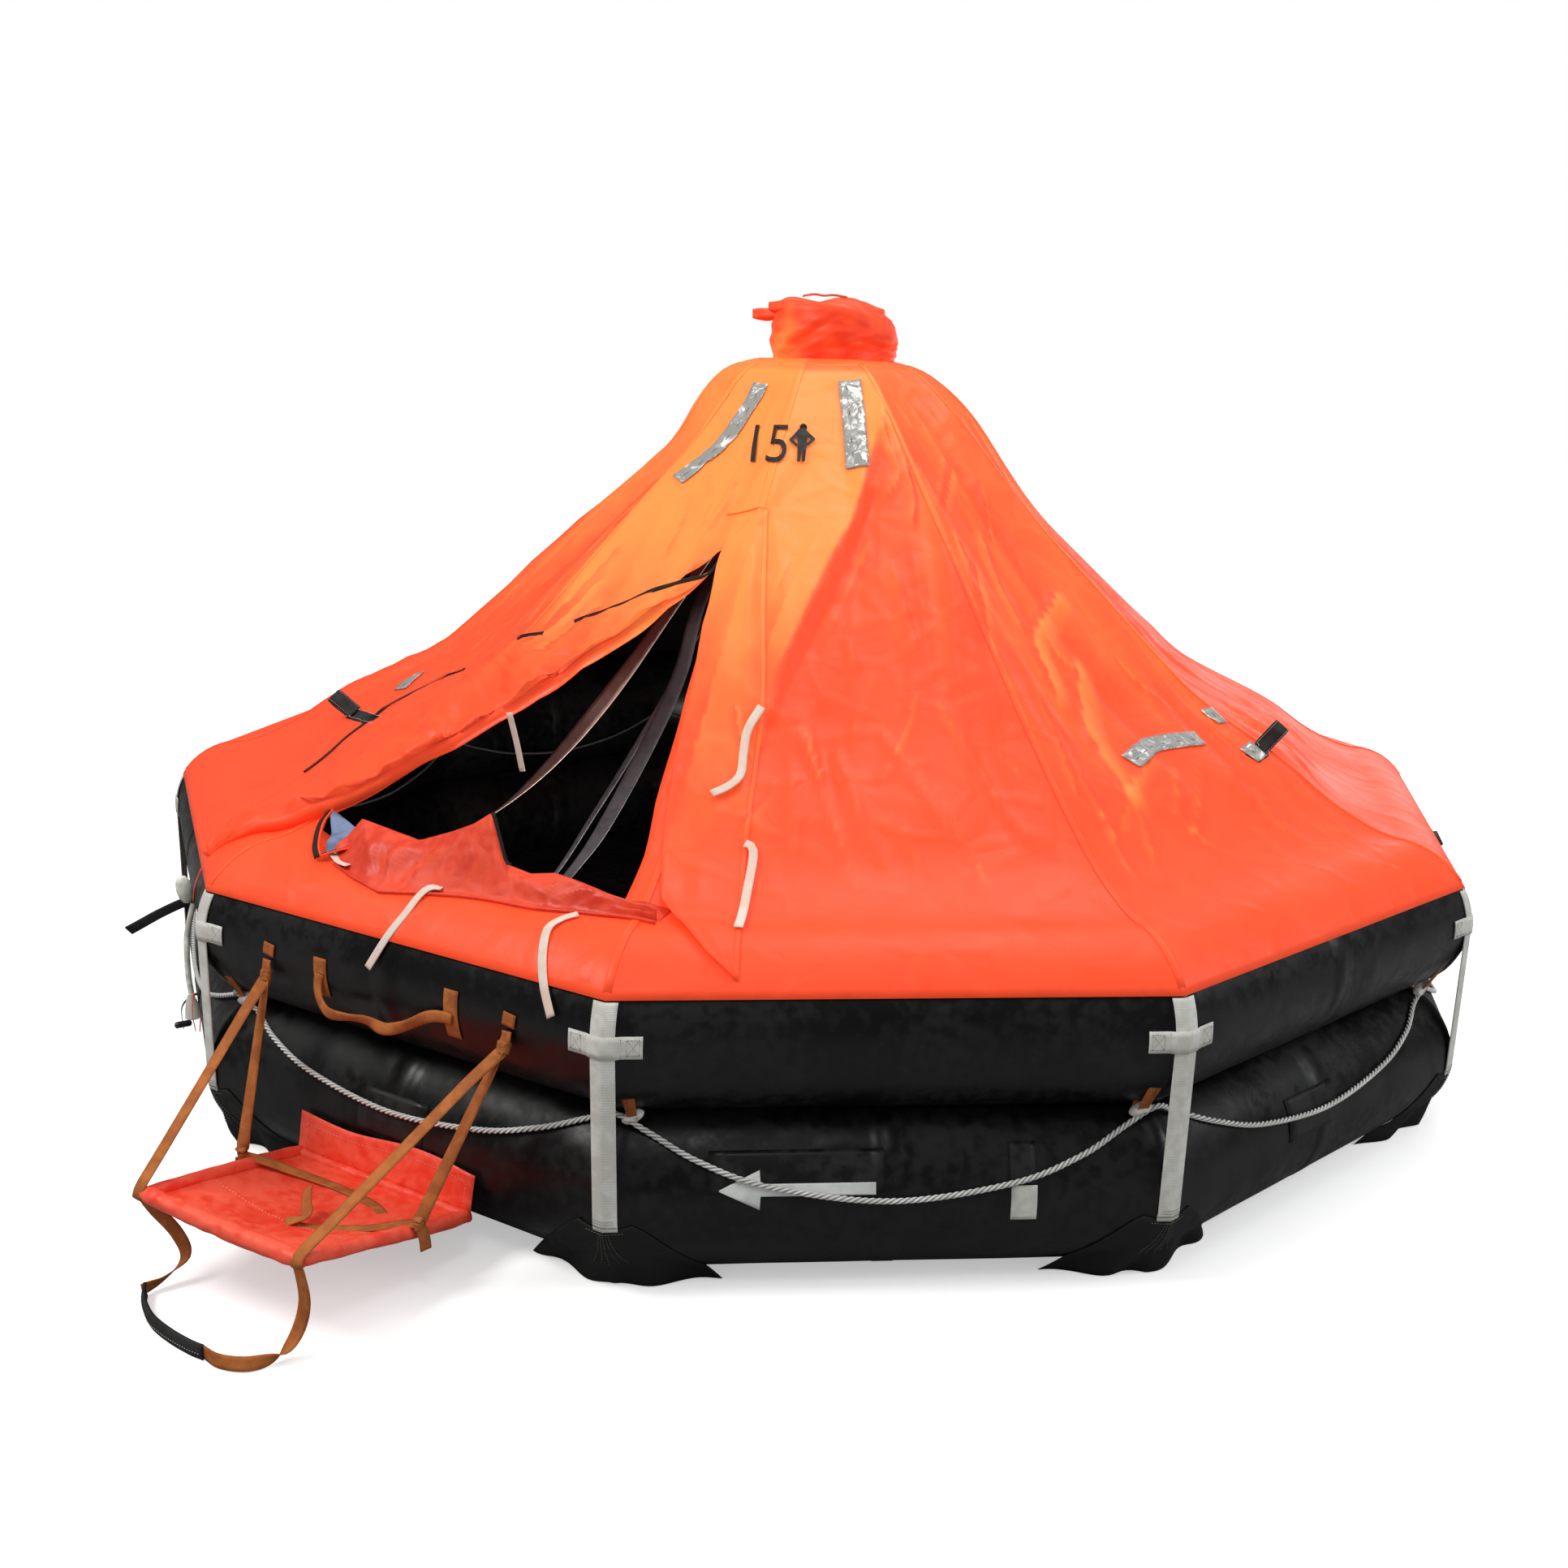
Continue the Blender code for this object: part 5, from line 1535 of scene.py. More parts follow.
def tray_spot(u, w, lift=0.0):
    """Point of the tray cloth: u from the inner to the outer edge, w across from -1 to 1."""
    half = TRAY_INNER_HALF + (TRAY_OUTER_HALF - TRAY_INNER_HALF) * u
    y = TRAY_INNER[0] + (TRAY_OUTER[0] - TRAY_INNER[0]) * u
    z = TRAY_INNER[1] + (TRAY_OUTER[1] - TRAY_INNER[1]) * u
    sag = 0.030 * math.sin(math.pi * u) * (1 - w * w)
    ripple = 0.005 * noise.noise(Vector((w * 2.2, u * 3.5, 1.7))) * math.sin(math.pi * u)
    ripple += 0.004 * abs(noise.noise(Vector((w * 4.0 + u * 3, u * 2.0, 5.1))))
    return Vector((w * half, y, z - sag + ripple + lift))


def make_tray():
    """Cloth tray of the ramp with its rolled hems and raised inner flap."""
    body = "boarding_ramp"
    rows = [[tray_spot(i / 24, j / 16 - 1) for j in range(33)] for i in range(25)]
    tray = cloth_grid("tray_cloth", rows, TRAY_CLOTH, 0.0016, body,
                      held="stretched")
    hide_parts("boarding_ramp_tray")
    rows = []
    for i in range(9):
        rise = i / 8
        row = []
        for j in range(25):
            w = j / 12 - 1
            sway = 0.010 * rise * math.sin(w * 3.0 + 0.6) + 0.004 * noise.noise(
                Vector((w * 3, rise * 2, 3.3)))
            height = (TRAY_FLAP_HEIGHT + 0.006 * math.sin(w * 4)) * rise
            spot = Vector((w * (TRAY_INNER_HALF + 0.004), TRAY_INNER[0] + 0.004 + sway * 0.4
                           + 0.018 * rise, TRAY_INNER[1] + 0.004 + height))
            row.append(spot)
        rows.append(row)
    cloth_grid("tray_flap", rows, TRAY_CLOTH, 0.0020, body, held="hung")
    thread = Stitches("tray_stitching", THREAD, body)
    back = Vector((0, -1, 0))
    line = [rows[6][j] + back * 0.0016 for j in range(1, 24)]
    thread.line(line, [back] * len(line), 0.008, 0.0055, 0.0006)
    for end in (1, 23):
        line = [rows[i][end] + back * 0.0016 for i in range(7)]
        thread.line(line, [back] * len(line), 0.008, 0.0055, 0.0006)
    up = Vector((0, 0, 1))
    line = [tray_spot(0.62, j / 10 - 1, 0.0014) for j in range(1, 20)]
    thread.line(line, [up] * len(line), 0.009, 0.0055, 0.0006)
    thread.finish()
    left, right = tray_spot(1, -1), tray_spot(1, 1)
    outer = [left + Vector((-0.012, 0, 0)), left.lerp(right, 0.25), left.lerp(right, 0.5),
             left.lerp(right, 0.75), right + Vector((0.012, 0, 0))]
    for spot, drop in zip(outer, (0.002, -0.002, -0.004, -0.002, 0.002)):
        spot.z += drop
    soft_roll("tray_outer_hem", smooth_path(outer, 0.006), 0.0165, TRAY_CLOTH, body,
              rough=0.16, gather=0.25)
    for sign in (-1, 1):
        side = [tray_spot(u, sign, 0.001) for u in (0.0, 0.3, 0.6, 1.0)]
        soft_roll("tray_side_hem_%d" % sign, smooth_path(side, 0.007), 0.0145, TRAY_CLOTH, body,
                  rough=0.14, gather=0.12, seed=4.0 * sign)
    inner = [tray_spot(0, w) for w in (-1, -0.5, 0, 0.5, 1)]
    soft_roll("tray_inner_hem", smooth_path(inner, 0.008), 0.0100, TRAY_CLOTH, body,
              rough=0.12, seed=8.0)
    return body


def make_ramp():
    body = make_tray()
    wide = Vector((1, 0, 0))
    for sign, word in ((-1, "left"), (1, "right")):
        top = Vector((sign * RAMP_HANGER.x, RAMP_HANGER.y, RAMP_HANGER.z))
        lean = Vector((0.25 * sign, 0.5, 0))
        tab = [on_tube(RAMP_SIDE, UPPER_TUBE_Z, tube_angle(UPPER_TUBE_Z, z), top.x + dx, 0.003)
               for z, dx in ((0.536, 0.004), (0.522, 0.002), (0.510, 0))]
        webbing("hanger_tab_" + word, tab, [wide] * 3, 0.030, TAN_STRAP, "raft",
                step=0.005)
        knot_at = top + Vector((-sign * 0.004, -0.014, -0.034))
        neck = [top + Vector((0, -0.0075, -0.003)), top + Vector((0, -0.010, -0.016)), knot_at]
        webbing("hanger_neck_" + word, neck, [wide, wide * 0.6, wide * 0.4 + Vector((0, 0.2, 0))],
                0.022, TAN_STRAP, body, step=0.005)
        soft_roll("hanger_knot_" + word,
                  smooth_path([knot_at + Vector((0, 0.003, 0.013)), knot_at,
                               knot_at + Vector((0, -0.004, -0.013))], 0.003),
                  0.0115, TAN_CLOTH, body, rough=0.55, gather=0.4, seed=sign * 5.0)
        outer = Vector((sign * (TRAY_OUTER_HALF + 0.008), TRAY_OUTER[0] - 0.004,
                        TRAY_OUTER[1] + 0.016))
        path = [knot_at + Vector((0, -0.004, -0.008)), knot_at.lerp(outer, 0.18),
                knot_at.lerp(outer, 0.5), knot_at.lerp(outer, 0.85), outer,
                outer + Vector((0, -0.010, -0.022))]
        across = [wide * 0.5 + lean, wide + lean * 0.5, wide, wide, wide, wide]
        hanger = webbing("hanger_outer_" + word, path, across, RAMP_WEBBING_WIDTH, TAN_STRAP,
                         body, cup=0.001)
        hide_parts("boarding_ramp_webbing_" + word)
        hem = Vector((sign * 0.242, -1.838, 0.154))
        path = [knot_at + Vector((0, 0, -0.008)), knot_at.lerp(hem, 0.2),
                knot_at.lerp(hem, 0.55), knot_at.lerp(hem, 0.9), hem]
        across = [wide * 0.5 - lean, wide - lean * 0.4, wide, wide * 0.8 + lean * 0.4, lean]
        webbing("hanger_inner_" + word, path, across, RAMP_WEBBING_WIDTH, TAN_STRAP, body,
                cup=0.001)
        soft_roll("hem_knot_" + word,
                  smooth_path([hem + Vector((0, 0, 0.012)), hem, hem + Vector((0, 0.002, -0.014))],
                              0.003),
                  0.0110, TAN_CLOTH, body, rough=0.6, gather=0.4, seed=sign * 9.0)
        tail = [hem + Vector((sign * 0.004, 0, -0.008)), hem + Vector((sign * 0.010, 0.003, -0.03)),
                hem + Vector((sign * 0.008, 0.008, -0.058))]
        webbing("hem_tail_" + word, tail, [wide * 0.4 + Vector((0, 1, 0))] * 3, 0.022, TAN_STRAP,
                body, step=0.006)
    floor_band = [(-0.236, -1.838, 0.150), (-0.20, -1.815, 0.138), (-0.14, -1.785, 0.116),
                  (-0.05, -1.765, 0.102), (0.05, -1.772, 0.101), (0.115, -1.800, 0.106)]
    webbing("tray_band_left", floor_band, [(0, 1, 0.3), (0, 1, 0.2), (0, 1, 0.1), (0, 1, 0),
                                           (0, 1, 0), (0.5, 1, 0)],
            0.020, TAN_STRAP, body)
    floor_band = [(0.236, -1.838, 0.150), (0.195, -1.850, 0.140), (0.13, -1.880, 0.124),
                  (0.06, -1.930, 0.126), (0.01, -1.955, 0.133)]
    webbing("tray_band_right", floor_band, [(0, 1, 0.3), (0, 1, 0.2), (0.2, 1, 0.1), (0.4, 1, 0),
                                            (0.4, 1, 0)],
            0.024, TAN_STRAP, body)
    corner = [(0.012, -1.952, 0.136), (0.035, -1.925, 0.142), (0.010, -1.900, 0.150),
              (-0.015, -1.872, 0.162)]
    webbing("tray_band_end", corner, [(0.9, 0.3, 0), (0.8, 0.4, 0.3), (0.7, 0.2, 0.4),
                                      (0.25, 0.2, 0.3)],
            0.024, TAN_STRAP, body, step=0.006)
    make_foot_loop(body)


def make_foot_loop(body):
    """Stirrup of webbing from the outer corners, its bight on the floor in a black sleeve."""
    up = Vector((0, 0, 1))
    rest = 0.0145
    left = [(-0.212, -2.082, 0.196), (-0.232, -2.074, 0.172), (-0.226, -2.060, 0.140),
            (-0.190, -2.042, 0.092), (-0.165, -2.045, 0.052), (-0.176, -2.085, 0.022),
            (-0.188, -2.128, rest)]
    across = [(1, 0.2, 0), (0.8, 0.5, 0.3), (0.5, 0.7, 0.5), (0.5, 0.7, 0.2), (0.7, 0.3, 0.4),
              (0.6, -0.3, 0.7), up]
    loop = webbing("foot_loop_left", left, across, 0.024, TAN_STRAP, body,
                   step=0.007)
    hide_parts("boarding_ramp_foot_loop")
    sleeve = [(-0.184, -2.122, rest), (-0.148, -2.152, rest), (-0.090, -2.180, rest),
              (-0.030, -2.192, rest), (0.030, -2.196, rest), (0.066, -2.194, rest)]
    rows, normals = webbing_rows(sleeve, [up] * len(sleeve), 0.029, 0.008, 6, 0.003)
    cloth_grid("foot_loop_sleeve", rows, BLACK_STRAP, 0.0062, body)
    thread = Stitches("foot_loop_stitching", THREAD, body)
    for sign in (-1, 1):
        line = [row[3] + n * (sign * 0.0066) + up * 0.001 for row, n in zip(rows, normals)]
        thread.line(line, normals, 0.0065, 0.0045, 0.0007)
    thread.finish()
    right = [(0.058, -2.192, rest), (0.110, -2.196, rest), (0.160, -2.172, rest),
             (0.186, -2.128, 0.018), (0.198, -2.098, 0.050), (0.212, -2.090, 0.110),
             (0.208, -2.094, 0.170), (0.200, -2.098, 0.197)]
    across = [up, up + Vector((0, 0.2, 0)), up + Vector((0, 0.5, 0)), (0.7, 0.4, 0.6),
              (1, 0.2, 0.2), (1, 0.1, 0), (1, 0, 0), (1, 0, 0)]
    webbing("foot_loop_right", right, across, 0.026, TAN_STRAP, body, step=0.007)


# Doorway cloths: the rolled edge of the opening and the zip, as apothem and run on its side
FOLD_EDGE = [(0.750, 0.145), (0.827, 0.062), (0.898, -0.005), (0.957, -0.072), (1.044, -0.143),
             (1.123, -0.200), (1.191, -0.245), (1.283, -0.325), (1.365, -0.402), (1.421, -0.467),
             (1.468, -0.530), (1.512, -0.590), (1.535, -0.668)]
ZIP_LINE = [(0.745, 0.150), (0.750, 0.095), (0.764, 0.024), (0.798, -0.037), (0.826, -0.096),
            (0.852, -0.156), (0.884, -0.220), (0.898, -0.300), (0.878, -0.400), (0.850, -0.500),
            (0.860, -0.590), (0.930, -0.645), (1.020, -0.672), (1.090, -0.712), (1.180, -0.742),
            (1.300, -0.742), (1.420, -0.712), (1.500, -0.700)]
FREE_EDGE = [(0.690, 0.160), (0.748, 0.172), (0.881, 0.231), (1.005, 0.285), (1.089, 0.316),
             (1.206, 0.370), (1.278, 0.402), (1.338, 0.437), (1.411, 0.487)]
FREE_EDGE_BELOW = [(1.447, -0.430), (1.520, -0.395), (1.586, -0.353), (1.626, -0.306)]
FLAP_SEAM = [(0.626, -0.193), (0.830, -0.208), (1.033, -0.221), (1.311, -0.268), (1.536, -0.291),
             (1.630, -0.300)]


def folded_flap(side):
    """Door cloth folded back along the opening: a rolled edge, then puckers up to the zip."""
    edge = [on_side(side, a, run, 0) for a, run in FOLD_EDGE]
    far = [on_side(side, a, run, 0) for a, run in ZIP_LINE]
    columns, rolls, across = 170, 7, 20
    rows = []
    for i in range(columns + 1):
        share = i / columns
        start, end = at_share(edge, share), at_share(far, share)
        wide = end - start
        ahead = (at_share(edge, min(share + 0.01, 1)) - at_share(edge, max(share - 0.01, 0)))
        ahead.normalize()
        inward = Vector((0, 0, 1)).cross(ahead)
        if inward.dot(wide) > 0:
            inward = -inward
        size = 0.017 * eased(share * 7) * eased((1 - share) * 5) + 0.001
        size *= 1 + 0.35 * noise.noise(Vector((share * 14, 2.2, side)))
        row = []
        for k in range(rolls):
            turn = math.pi * (k / rolls - 0.5)
            spot = start + inward * (size * 0.9 * math.cos(turn))
            spot.z = above(start)[0].z + size * (1 + math.sin(turn))
            row.append(spot)
        for k in range(across + 1):
            out = k / across
            spot, normal = above(start + wide * out)
            puff = noise.noise(Vector((share * 16 + out * 2, out * 2.6, side + 0.5)))
            pinch = abs(noise.noise(Vector((share * 30 - out * 4, out * 5, side + 7.5))))
            body = eased(share * 6) * (1 - out) ** 0.5
            lift = size * 2 * (1 - out) ** 1.2 + body * (0.012 + 0.020 * puff - 0.020 * pinch)
            row.append(spot + normal * max(lift, 0.0016))
        rows.append(row)
    flap = cloth_grid("folded_flap_%d" % side, rows, COVER, 0.0012, "raft",
                      held="folded")
    shade_by_daylight(flap)
    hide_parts("door_%d_folded_flap" % side)
    teeth = Stitches("zip_teeth_%d" % side, BLACK_THREAD)
    for word, part in (("upper", [(0.700, 0.172)] + ZIP_LINE[:6]), ("dash", ZIP_LINE[6:8]),
                       ("lower", ZIP_LINE[9:15])):
        _, rows, normals = cover_band("zip_tape_%s_%d" % (word, side),
                                      [(side, a, run) for a, run in part], 0.012, ZIP_TAPE,
                                      lift=0.0045, thickness=0.0014, columns=2, step=0.008)
        line = [row[1] + n * 0.0028 for row, n in zip(rows, normals)]
        teeth.line(line, normals, 0.0042, 0.0030, 0.0012)
    teeth.finish()


def hanging_flap(side):
    """Door cloth right of the opening, sewn along its seam and hanging free to a tip."""
    last = side + 1
    free = [on_side(side, a, run, 0) for a, run in FREE_EDGE]
    free += [on_side(last, a, run, 0) for a, run in FREE_EDGE_BELOW]
    seam = [on_side(last, a, run, 0) for a, run in FLAP_SEAM]
    free, seam = smooth_path(free, 0.01), smooth_path(seam, 0.01)
    rows = []
    for i in range(101):
        share = i / 100
        a, b = at_share(free, share), at_share(seam, share)
        row = []
        for k in range(25):
            across = k / 24
            spot, normal = above(a.lerp(b, across))
            loose = 1 - across
            wave = math.sin(across * 7 + share * 5) * 0.5 + noise.noise(
                Vector((across * 4, share * 7, side * 2.0)))
            lift = 0.0022 + loose * (0.006 + 0.007 * wave * eased(share * 4)) + 0.006 * max(
                0, math.sin(share * 9 + across * 2)) * loose * loose
            curl = 0.004 * eased((0.12 - across) / 0.12)
            row.append(spot + normal * max(lift + curl, 0.0018))
        rows.append(row)
    flap = cloth_grid("hanging_flap_%d" % side, rows, COVER, 0.0014, "raft",
                      held="hung")
    shade_by_daylight(flap)
    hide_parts("door_%d_hanging_flap" % side)
    line = [(last, a, run) for a, run in FLAP_SEAM]
    seam, _, _ = cover_band("flap_seam_%d" % side, line, 0.010, COVER, lift=0.0040,
                            thickness=0.0006)
    shade_by_daylight(seam, 0.12)
    top = [(last, 0.626, -0.193), (side, 0.612, 0.150), (side, 0.602, 0.100)]
    seam, _, _ = cover_band("flap_head_seam_%d" % side, top, 0.010, COVER, lift=0.0040,
                            thickness=0.0006)
    shade_by_daylight(seam, 0.12)


# Sill cloth: run and height of its top edge, then apothem, run and height of its outer fold
SILL_HEAP = [
    (-0.320, 0.700, 1.545, -0.252), (-0.290, 0.722, 1.567, -0.178), (-0.242, 0.769, 1.584, -0.085),
    (-0.181, 0.762, 1.576, -0.043), (-0.079, 0.750, 1.562, 0.026), (0.013, 0.785, 1.548, 0.094),
    (0.071, 0.811, 1.540, 0.144), (0.117, 0.841, 1.536, 0.190), (0.148, 0.742, 1.534, 0.232),
    (0.217, 0.733, 1.530, 0.278), (0.278, 0.746, 1.518, 0.330), (0.337, 0.740, 1.505, 0.369),
    (0.410, 0.729, 1.490, 0.429), (0.478, 0.722, 1.478, 0.485), (0.520, 0.719, 1.470, 0.520),
]


def sill_flap(side):
    """Lower door cloth, folded out over the sill with its free edge standing in peaks."""
    tops = [Vector((run, 1.472, z)) for run, z, _, _ in SILL_HEAP]
    feet = [Vector((run, a, 0)) for _, _, a, run in SILL_HEAP]
    rows = []
    columns = 120
    for i in range(columns + 1):
        place = i / columns * (len(SILL_HEAP) - 1)
        k = min(int(place), len(SILL_HEAP) - 2)
        top = tops[k].lerp(tops[k + 1], place - k)
        foot = feet[k].lerp(feet[k + 1], place - k)
        head = on_side(side, top.y, top.x, top.z)
        base, normal = on_cover(side, foot.y, foot.x)
        under, _ = on_cover(side, foot.y - 0.050, foot.x)
        row = []
        for j in range(17):
            down = j / 16
            spot = head.lerp(base, down)
            belly = math.sin(math.pi * min(down * 1.15, 1.0)) * 0.014
            crease = noise.noise(Vector((i * 0.060, down * 2.2, side + 3.0)))
            sharp = abs(noise.noise(Vector((i * 0.11 + down * 2.0, down * 1.4, side + 9.0))))
            spot += normal * (belly + 0.013 * crease * math.sin(math.pi * down) + 0.004
                              - 0.020 * sharp * math.sin(math.pi * down))
            row.append(spot)
        for j in range(1, 6):
            turn = math.pi * j / 5
            out = outward(side_azimuth(side))
            spot = base + normal * (0.004 + 0.005 * (1 + math.cos(turn)) - 0.006)
            spot += out * (0.006 * math.sin(turn))
            row.append(spot)
        row.append(under + Vector((0, 0, 0.0022)))
        rows.append(row)
    flap = cloth_grid("sill_flap_%d" % side, rows, SILL_CLOTH, 0.0014, "raft",
                      held="folded")
    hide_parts("door_%d_sill_flap" % side)
    hem_from = int(7.0 / (len(SILL_HEAP) - 1) * columns)
    hem_to = int(8.2 / (len(SILL_HEAP) - 1) * columns)
    inner = outward(side_azimuth(side)) * -0.004
    path = [rows[i][0] + inner for i in range(hem_from, hem_to + 1)]
    webbing("sill_hem_%d" % side, path, [outward(side_azimuth(side))] * len(path), 0.012,
            ZIP_TAPE, "raft", step=0.008)


def zip_corner(side):
    """Open end of the zip low on the left, with its piping and a scrap of lining."""
    edge = [(1.398, -0.425, 0.738), (1.450, -0.400, 0.722), (1.515, -0.345, 0.702),
            (1.552, -0.300, 0.692)]
    low = [(1.552, -0.300, 0.692), (1.530, -0.276, 0.702), (1.500, -0.250, 0.708)]
    wide = along(side_azimuth(side))
    for k, line in enumerate((edge, low)):
        path = [on_side(side, a, run, z + 0.006) for a, run, z in line]
        webbing("zip_end_%d_%d" % (side, k), path, [wide + Vector((0, 0, 0.6))] * len(path),
                0.014, ZIP_TAPE, "raft", step=0.006)
        piping = [spot + wide * 0.012 + Vector((0, 0, 0.004)) for spot in path]
        soft_roll("zip_piping_%d_%d" % (side, k), smooth_path(piping, 0.006), 0.0024, COVER,
                  "raft", rough=0.0, segments=8)
    rows = []
    top, bottom = Vector((1.402, -0.405, 0.748)), Vector((1.538, -0.292, 0.698))
    tip = Vector((1.432, -0.285, 0.722))
    for i in range(13):
        u = i / 12
        row = []
        for j in range(13):
            v = j / 12
            mix = top.lerp(bottom, u).lerp(tip, v)
            puff = 0.010 * noise.noise(Vector((u * 3, v * 3, side))) * (1 - v)
            row.append(on_side(side, mix.x + puff, mix.y, mix.z + puff))
        rows.append(row)
    cloth_grid("liner_scrap_%d" % side, rows, LINER, 0.0012, "raft",
               held="folded")


def make_doorway(side):
    folded_flap(side)
    hanging_flap(side)
    sill_flap(side)
    zip_corner(side)
    out = outward(side_azimuth(side))
    wide = along(side_azimuth(side))
    ties = [
        ("tie_a", [(1.552, 0.055, 0.697), (1.560, 0.028, 0.695), (1.578, 0.016, 0.681),
                   (1.607, 0.011, 0.656), (1.647, -0.005, 0.612), (1.677, -0.033, 0.548)]),
        ("tie_b", [(1.520, 0.372, 0.699), (1.546, 0.352, 0.692), (1.580, 0.346, 0.680),
                   (1.622, 0.368, 0.645), (1.655, 0.398, 0.603), (1.677, 0.432, 0.556)]),
        ("tie_c", [(1.520, -0.290, 0.704), (1.535, -0.262, 0.700), (1.548, -0.235, 0.697),
                   (1.553, -0.205, 0.697)]),
    ]
    for name, line in ties:
        path = side_path(side, line)
        webbing("%s_%d" % (name, side), path, [wide] * len(path) if name != "tie_c"
                else [out] * len(path), 0.018, WHITE_TIE, "raft", step=0.008,
                thickness=0.0012)
    top = side_path(side, [(1.118, -0.142, 0.955), (1.112, -0.128, 0.890),
                           (1.110, -0.113, 0.822)])
    webbing("inner_tie_%d" % side, top, [wide] * 3, 0.017, WHITE_TIE, "raft",
            thickness=0.0012)
    upper = [(side + 1, 1.030, -0.222), (side + 1, 1.071, -0.250), (side + 1, 1.110, -0.262),
             (side + 1, 1.170, -0.272), (side + 1, 1.196, -0.298), (side + 1, 1.212, -0.332)]
    cover_band("tie_d_%d" % side, upper, 0.018, WHITE_TIE, lift=0.018, thickness=0.0012)
    lower = [(side + 1, 1.305, -0.268), (side + 1, 1.322, -0.252), (side + 1, 1.410, -0.268),
             (side + 1, 1.530, -0.291)]
    cover_band("tie_e_%d" % side, lower, 0.018, WHITE_TIE, lift=0.010, thickness=0.0012)


def shade_by_daylight(obj, extra=0.0):
    """Stores the daylight that shows through each point of a piece of the cover."""
    point_values(obj, "daylight", [daylight(v.co) + extra for v in obj.data.vertices])


# Marks on the cover, by their places in the 1932-wide picture

COUNT_LEFT, COUNT_RIGHT, COUNT_TOP, COUNT_FOOT = 926, 971, 525, 571
FIGURE_X, FIGURE_Y, FIGURE_SCALE = 988, 547, 365
MARK_LIFT = 0.0045


def make_number():
    """The painted person count: a plain 15."""
    deselect()
    bpy.ops.object.text_add(location=(0, 0, 0))
    text = bpy.context.object
    text.data.body = "15"
    text.data.shear = 0.16
    text.data.resolution_u = 8
    bpy.ops.object.convert(target="MESH")
    obj = bpy.context.object
    obj.name = "person_count"
    with open_mesh(obj) as bm:
        bmesh.ops.triangulate(bm, faces=bm.faces[:])
        bmesh.ops.subdivide_edges(bm, edges=bm.edges[:], cuts=2, use_grid_fill=True)
        left, right = min(v.co.x for v in bm.verts), max(v.co.x for v in bm.verts)
        low, high = min(v.co.y for v in bm.verts), max(v.co.y for v in bm.verts)
        for v in bm.verts:
            x = COUNT_LEFT + (COUNT_RIGHT - COUNT_LEFT) * (v.co.x - left) / (right - left)
            y = COUNT_FOOT + (COUNT_TOP - COUNT_FOOT) * (v.co.y - low) / (high - low)
            v.co = seen_on_cover(x, y, MARK_LIFT)
        face_up(bm)
    obj.data.materials.append(MARKING)
    finished(obj, "raft")


def make_figure():
    """The painted figure beside the count, from round-ended strokes."""
    strokes = [
        ([(0.004, 0.052), (0.004, 0.052)], 0.0125, 0.0125),
        ([(0.000, 0.030), (0.000, 0.000)], 0.020, 0.015),
        ([(-0.016, 0.030), (0.016, 0.030)], 0.008, 0.008),
        ([(-0.016, 0.030), (-0.038, 0.010), (-0.020, -0.008)], 0.0065, 0.0045),
        ([(0.016, 0.030), (0.038, 0.012), (0.018, -0.006)], 0.0065, 0.0045),
        ([(-0.007, 0.002), (-0.009, -0.026), (-0.012, -0.060)], 0.0090, 0.0050),
        ([(0.008, 0.002), (0.006, -0.026), (0.004, -0.060)], 0.0090, 0.0050),
    ]
    verts, faces = [], []

    def place(x, y, layer):
        return seen_on_cover(FIGURE_X + x * FIGURE_SCALE, FIGURE_Y - y * FIGURE_SCALE,
                             MARK_LIFT + layer * 0.00012)

    for layer, (points, first, final) in enumerate(strokes):
        total = len(points) - 1
        for k, (x, y) in enumerate(points):
            radius = first + (final - first) * k / total
            base = len(verts)
            verts.append(place(x, y, layer))
            for turn in range(16):
                angle = 2 * math.pi * turn / 16
                verts.append(place(x + radius * math.cos(angle), y + radius * math.sin(angle),
                                   layer))
            for turn in range(16):
                faces.append((base, base + 1 + turn, base + 1 + (turn + 1) % 16))
        for k, ((ax, ay), (bx, by)) in enumerate(zip(points, points[1:])):
            size = math.hypot(bx - ax, by - ay)
            if size < 1e-6:
                continue
            nx, ny = -(by - ay) / size, (bx - ax) / size
            for part in range(4):
                ends = []
                for share in (part / 4, (part + 1) / 4):
                    radius = first + (final - first) * (k + share) / total
                    x, y = ax + (bx - ax) * share, ay + (by - ay) * share
                    ends.append((x + nx * radius, y + ny * radius))
                    ends.append((x - nx * radius, y - ny * radius))
                base = len(verts)
                verts.extend(place(x, y, layer + 0.5) for x, y in ends)
                faces.append((base, base + 1, base + 3, base + 2))
    obj = mesh_object("person_mark", verts, faces, MARKING, "raft")
    with open_mesh(obj) as bm:
        bm.normal_update()
        bmesh.ops.reverse_faces(bm, faces=[f for f in bm.faces if f.normal.z < 0])


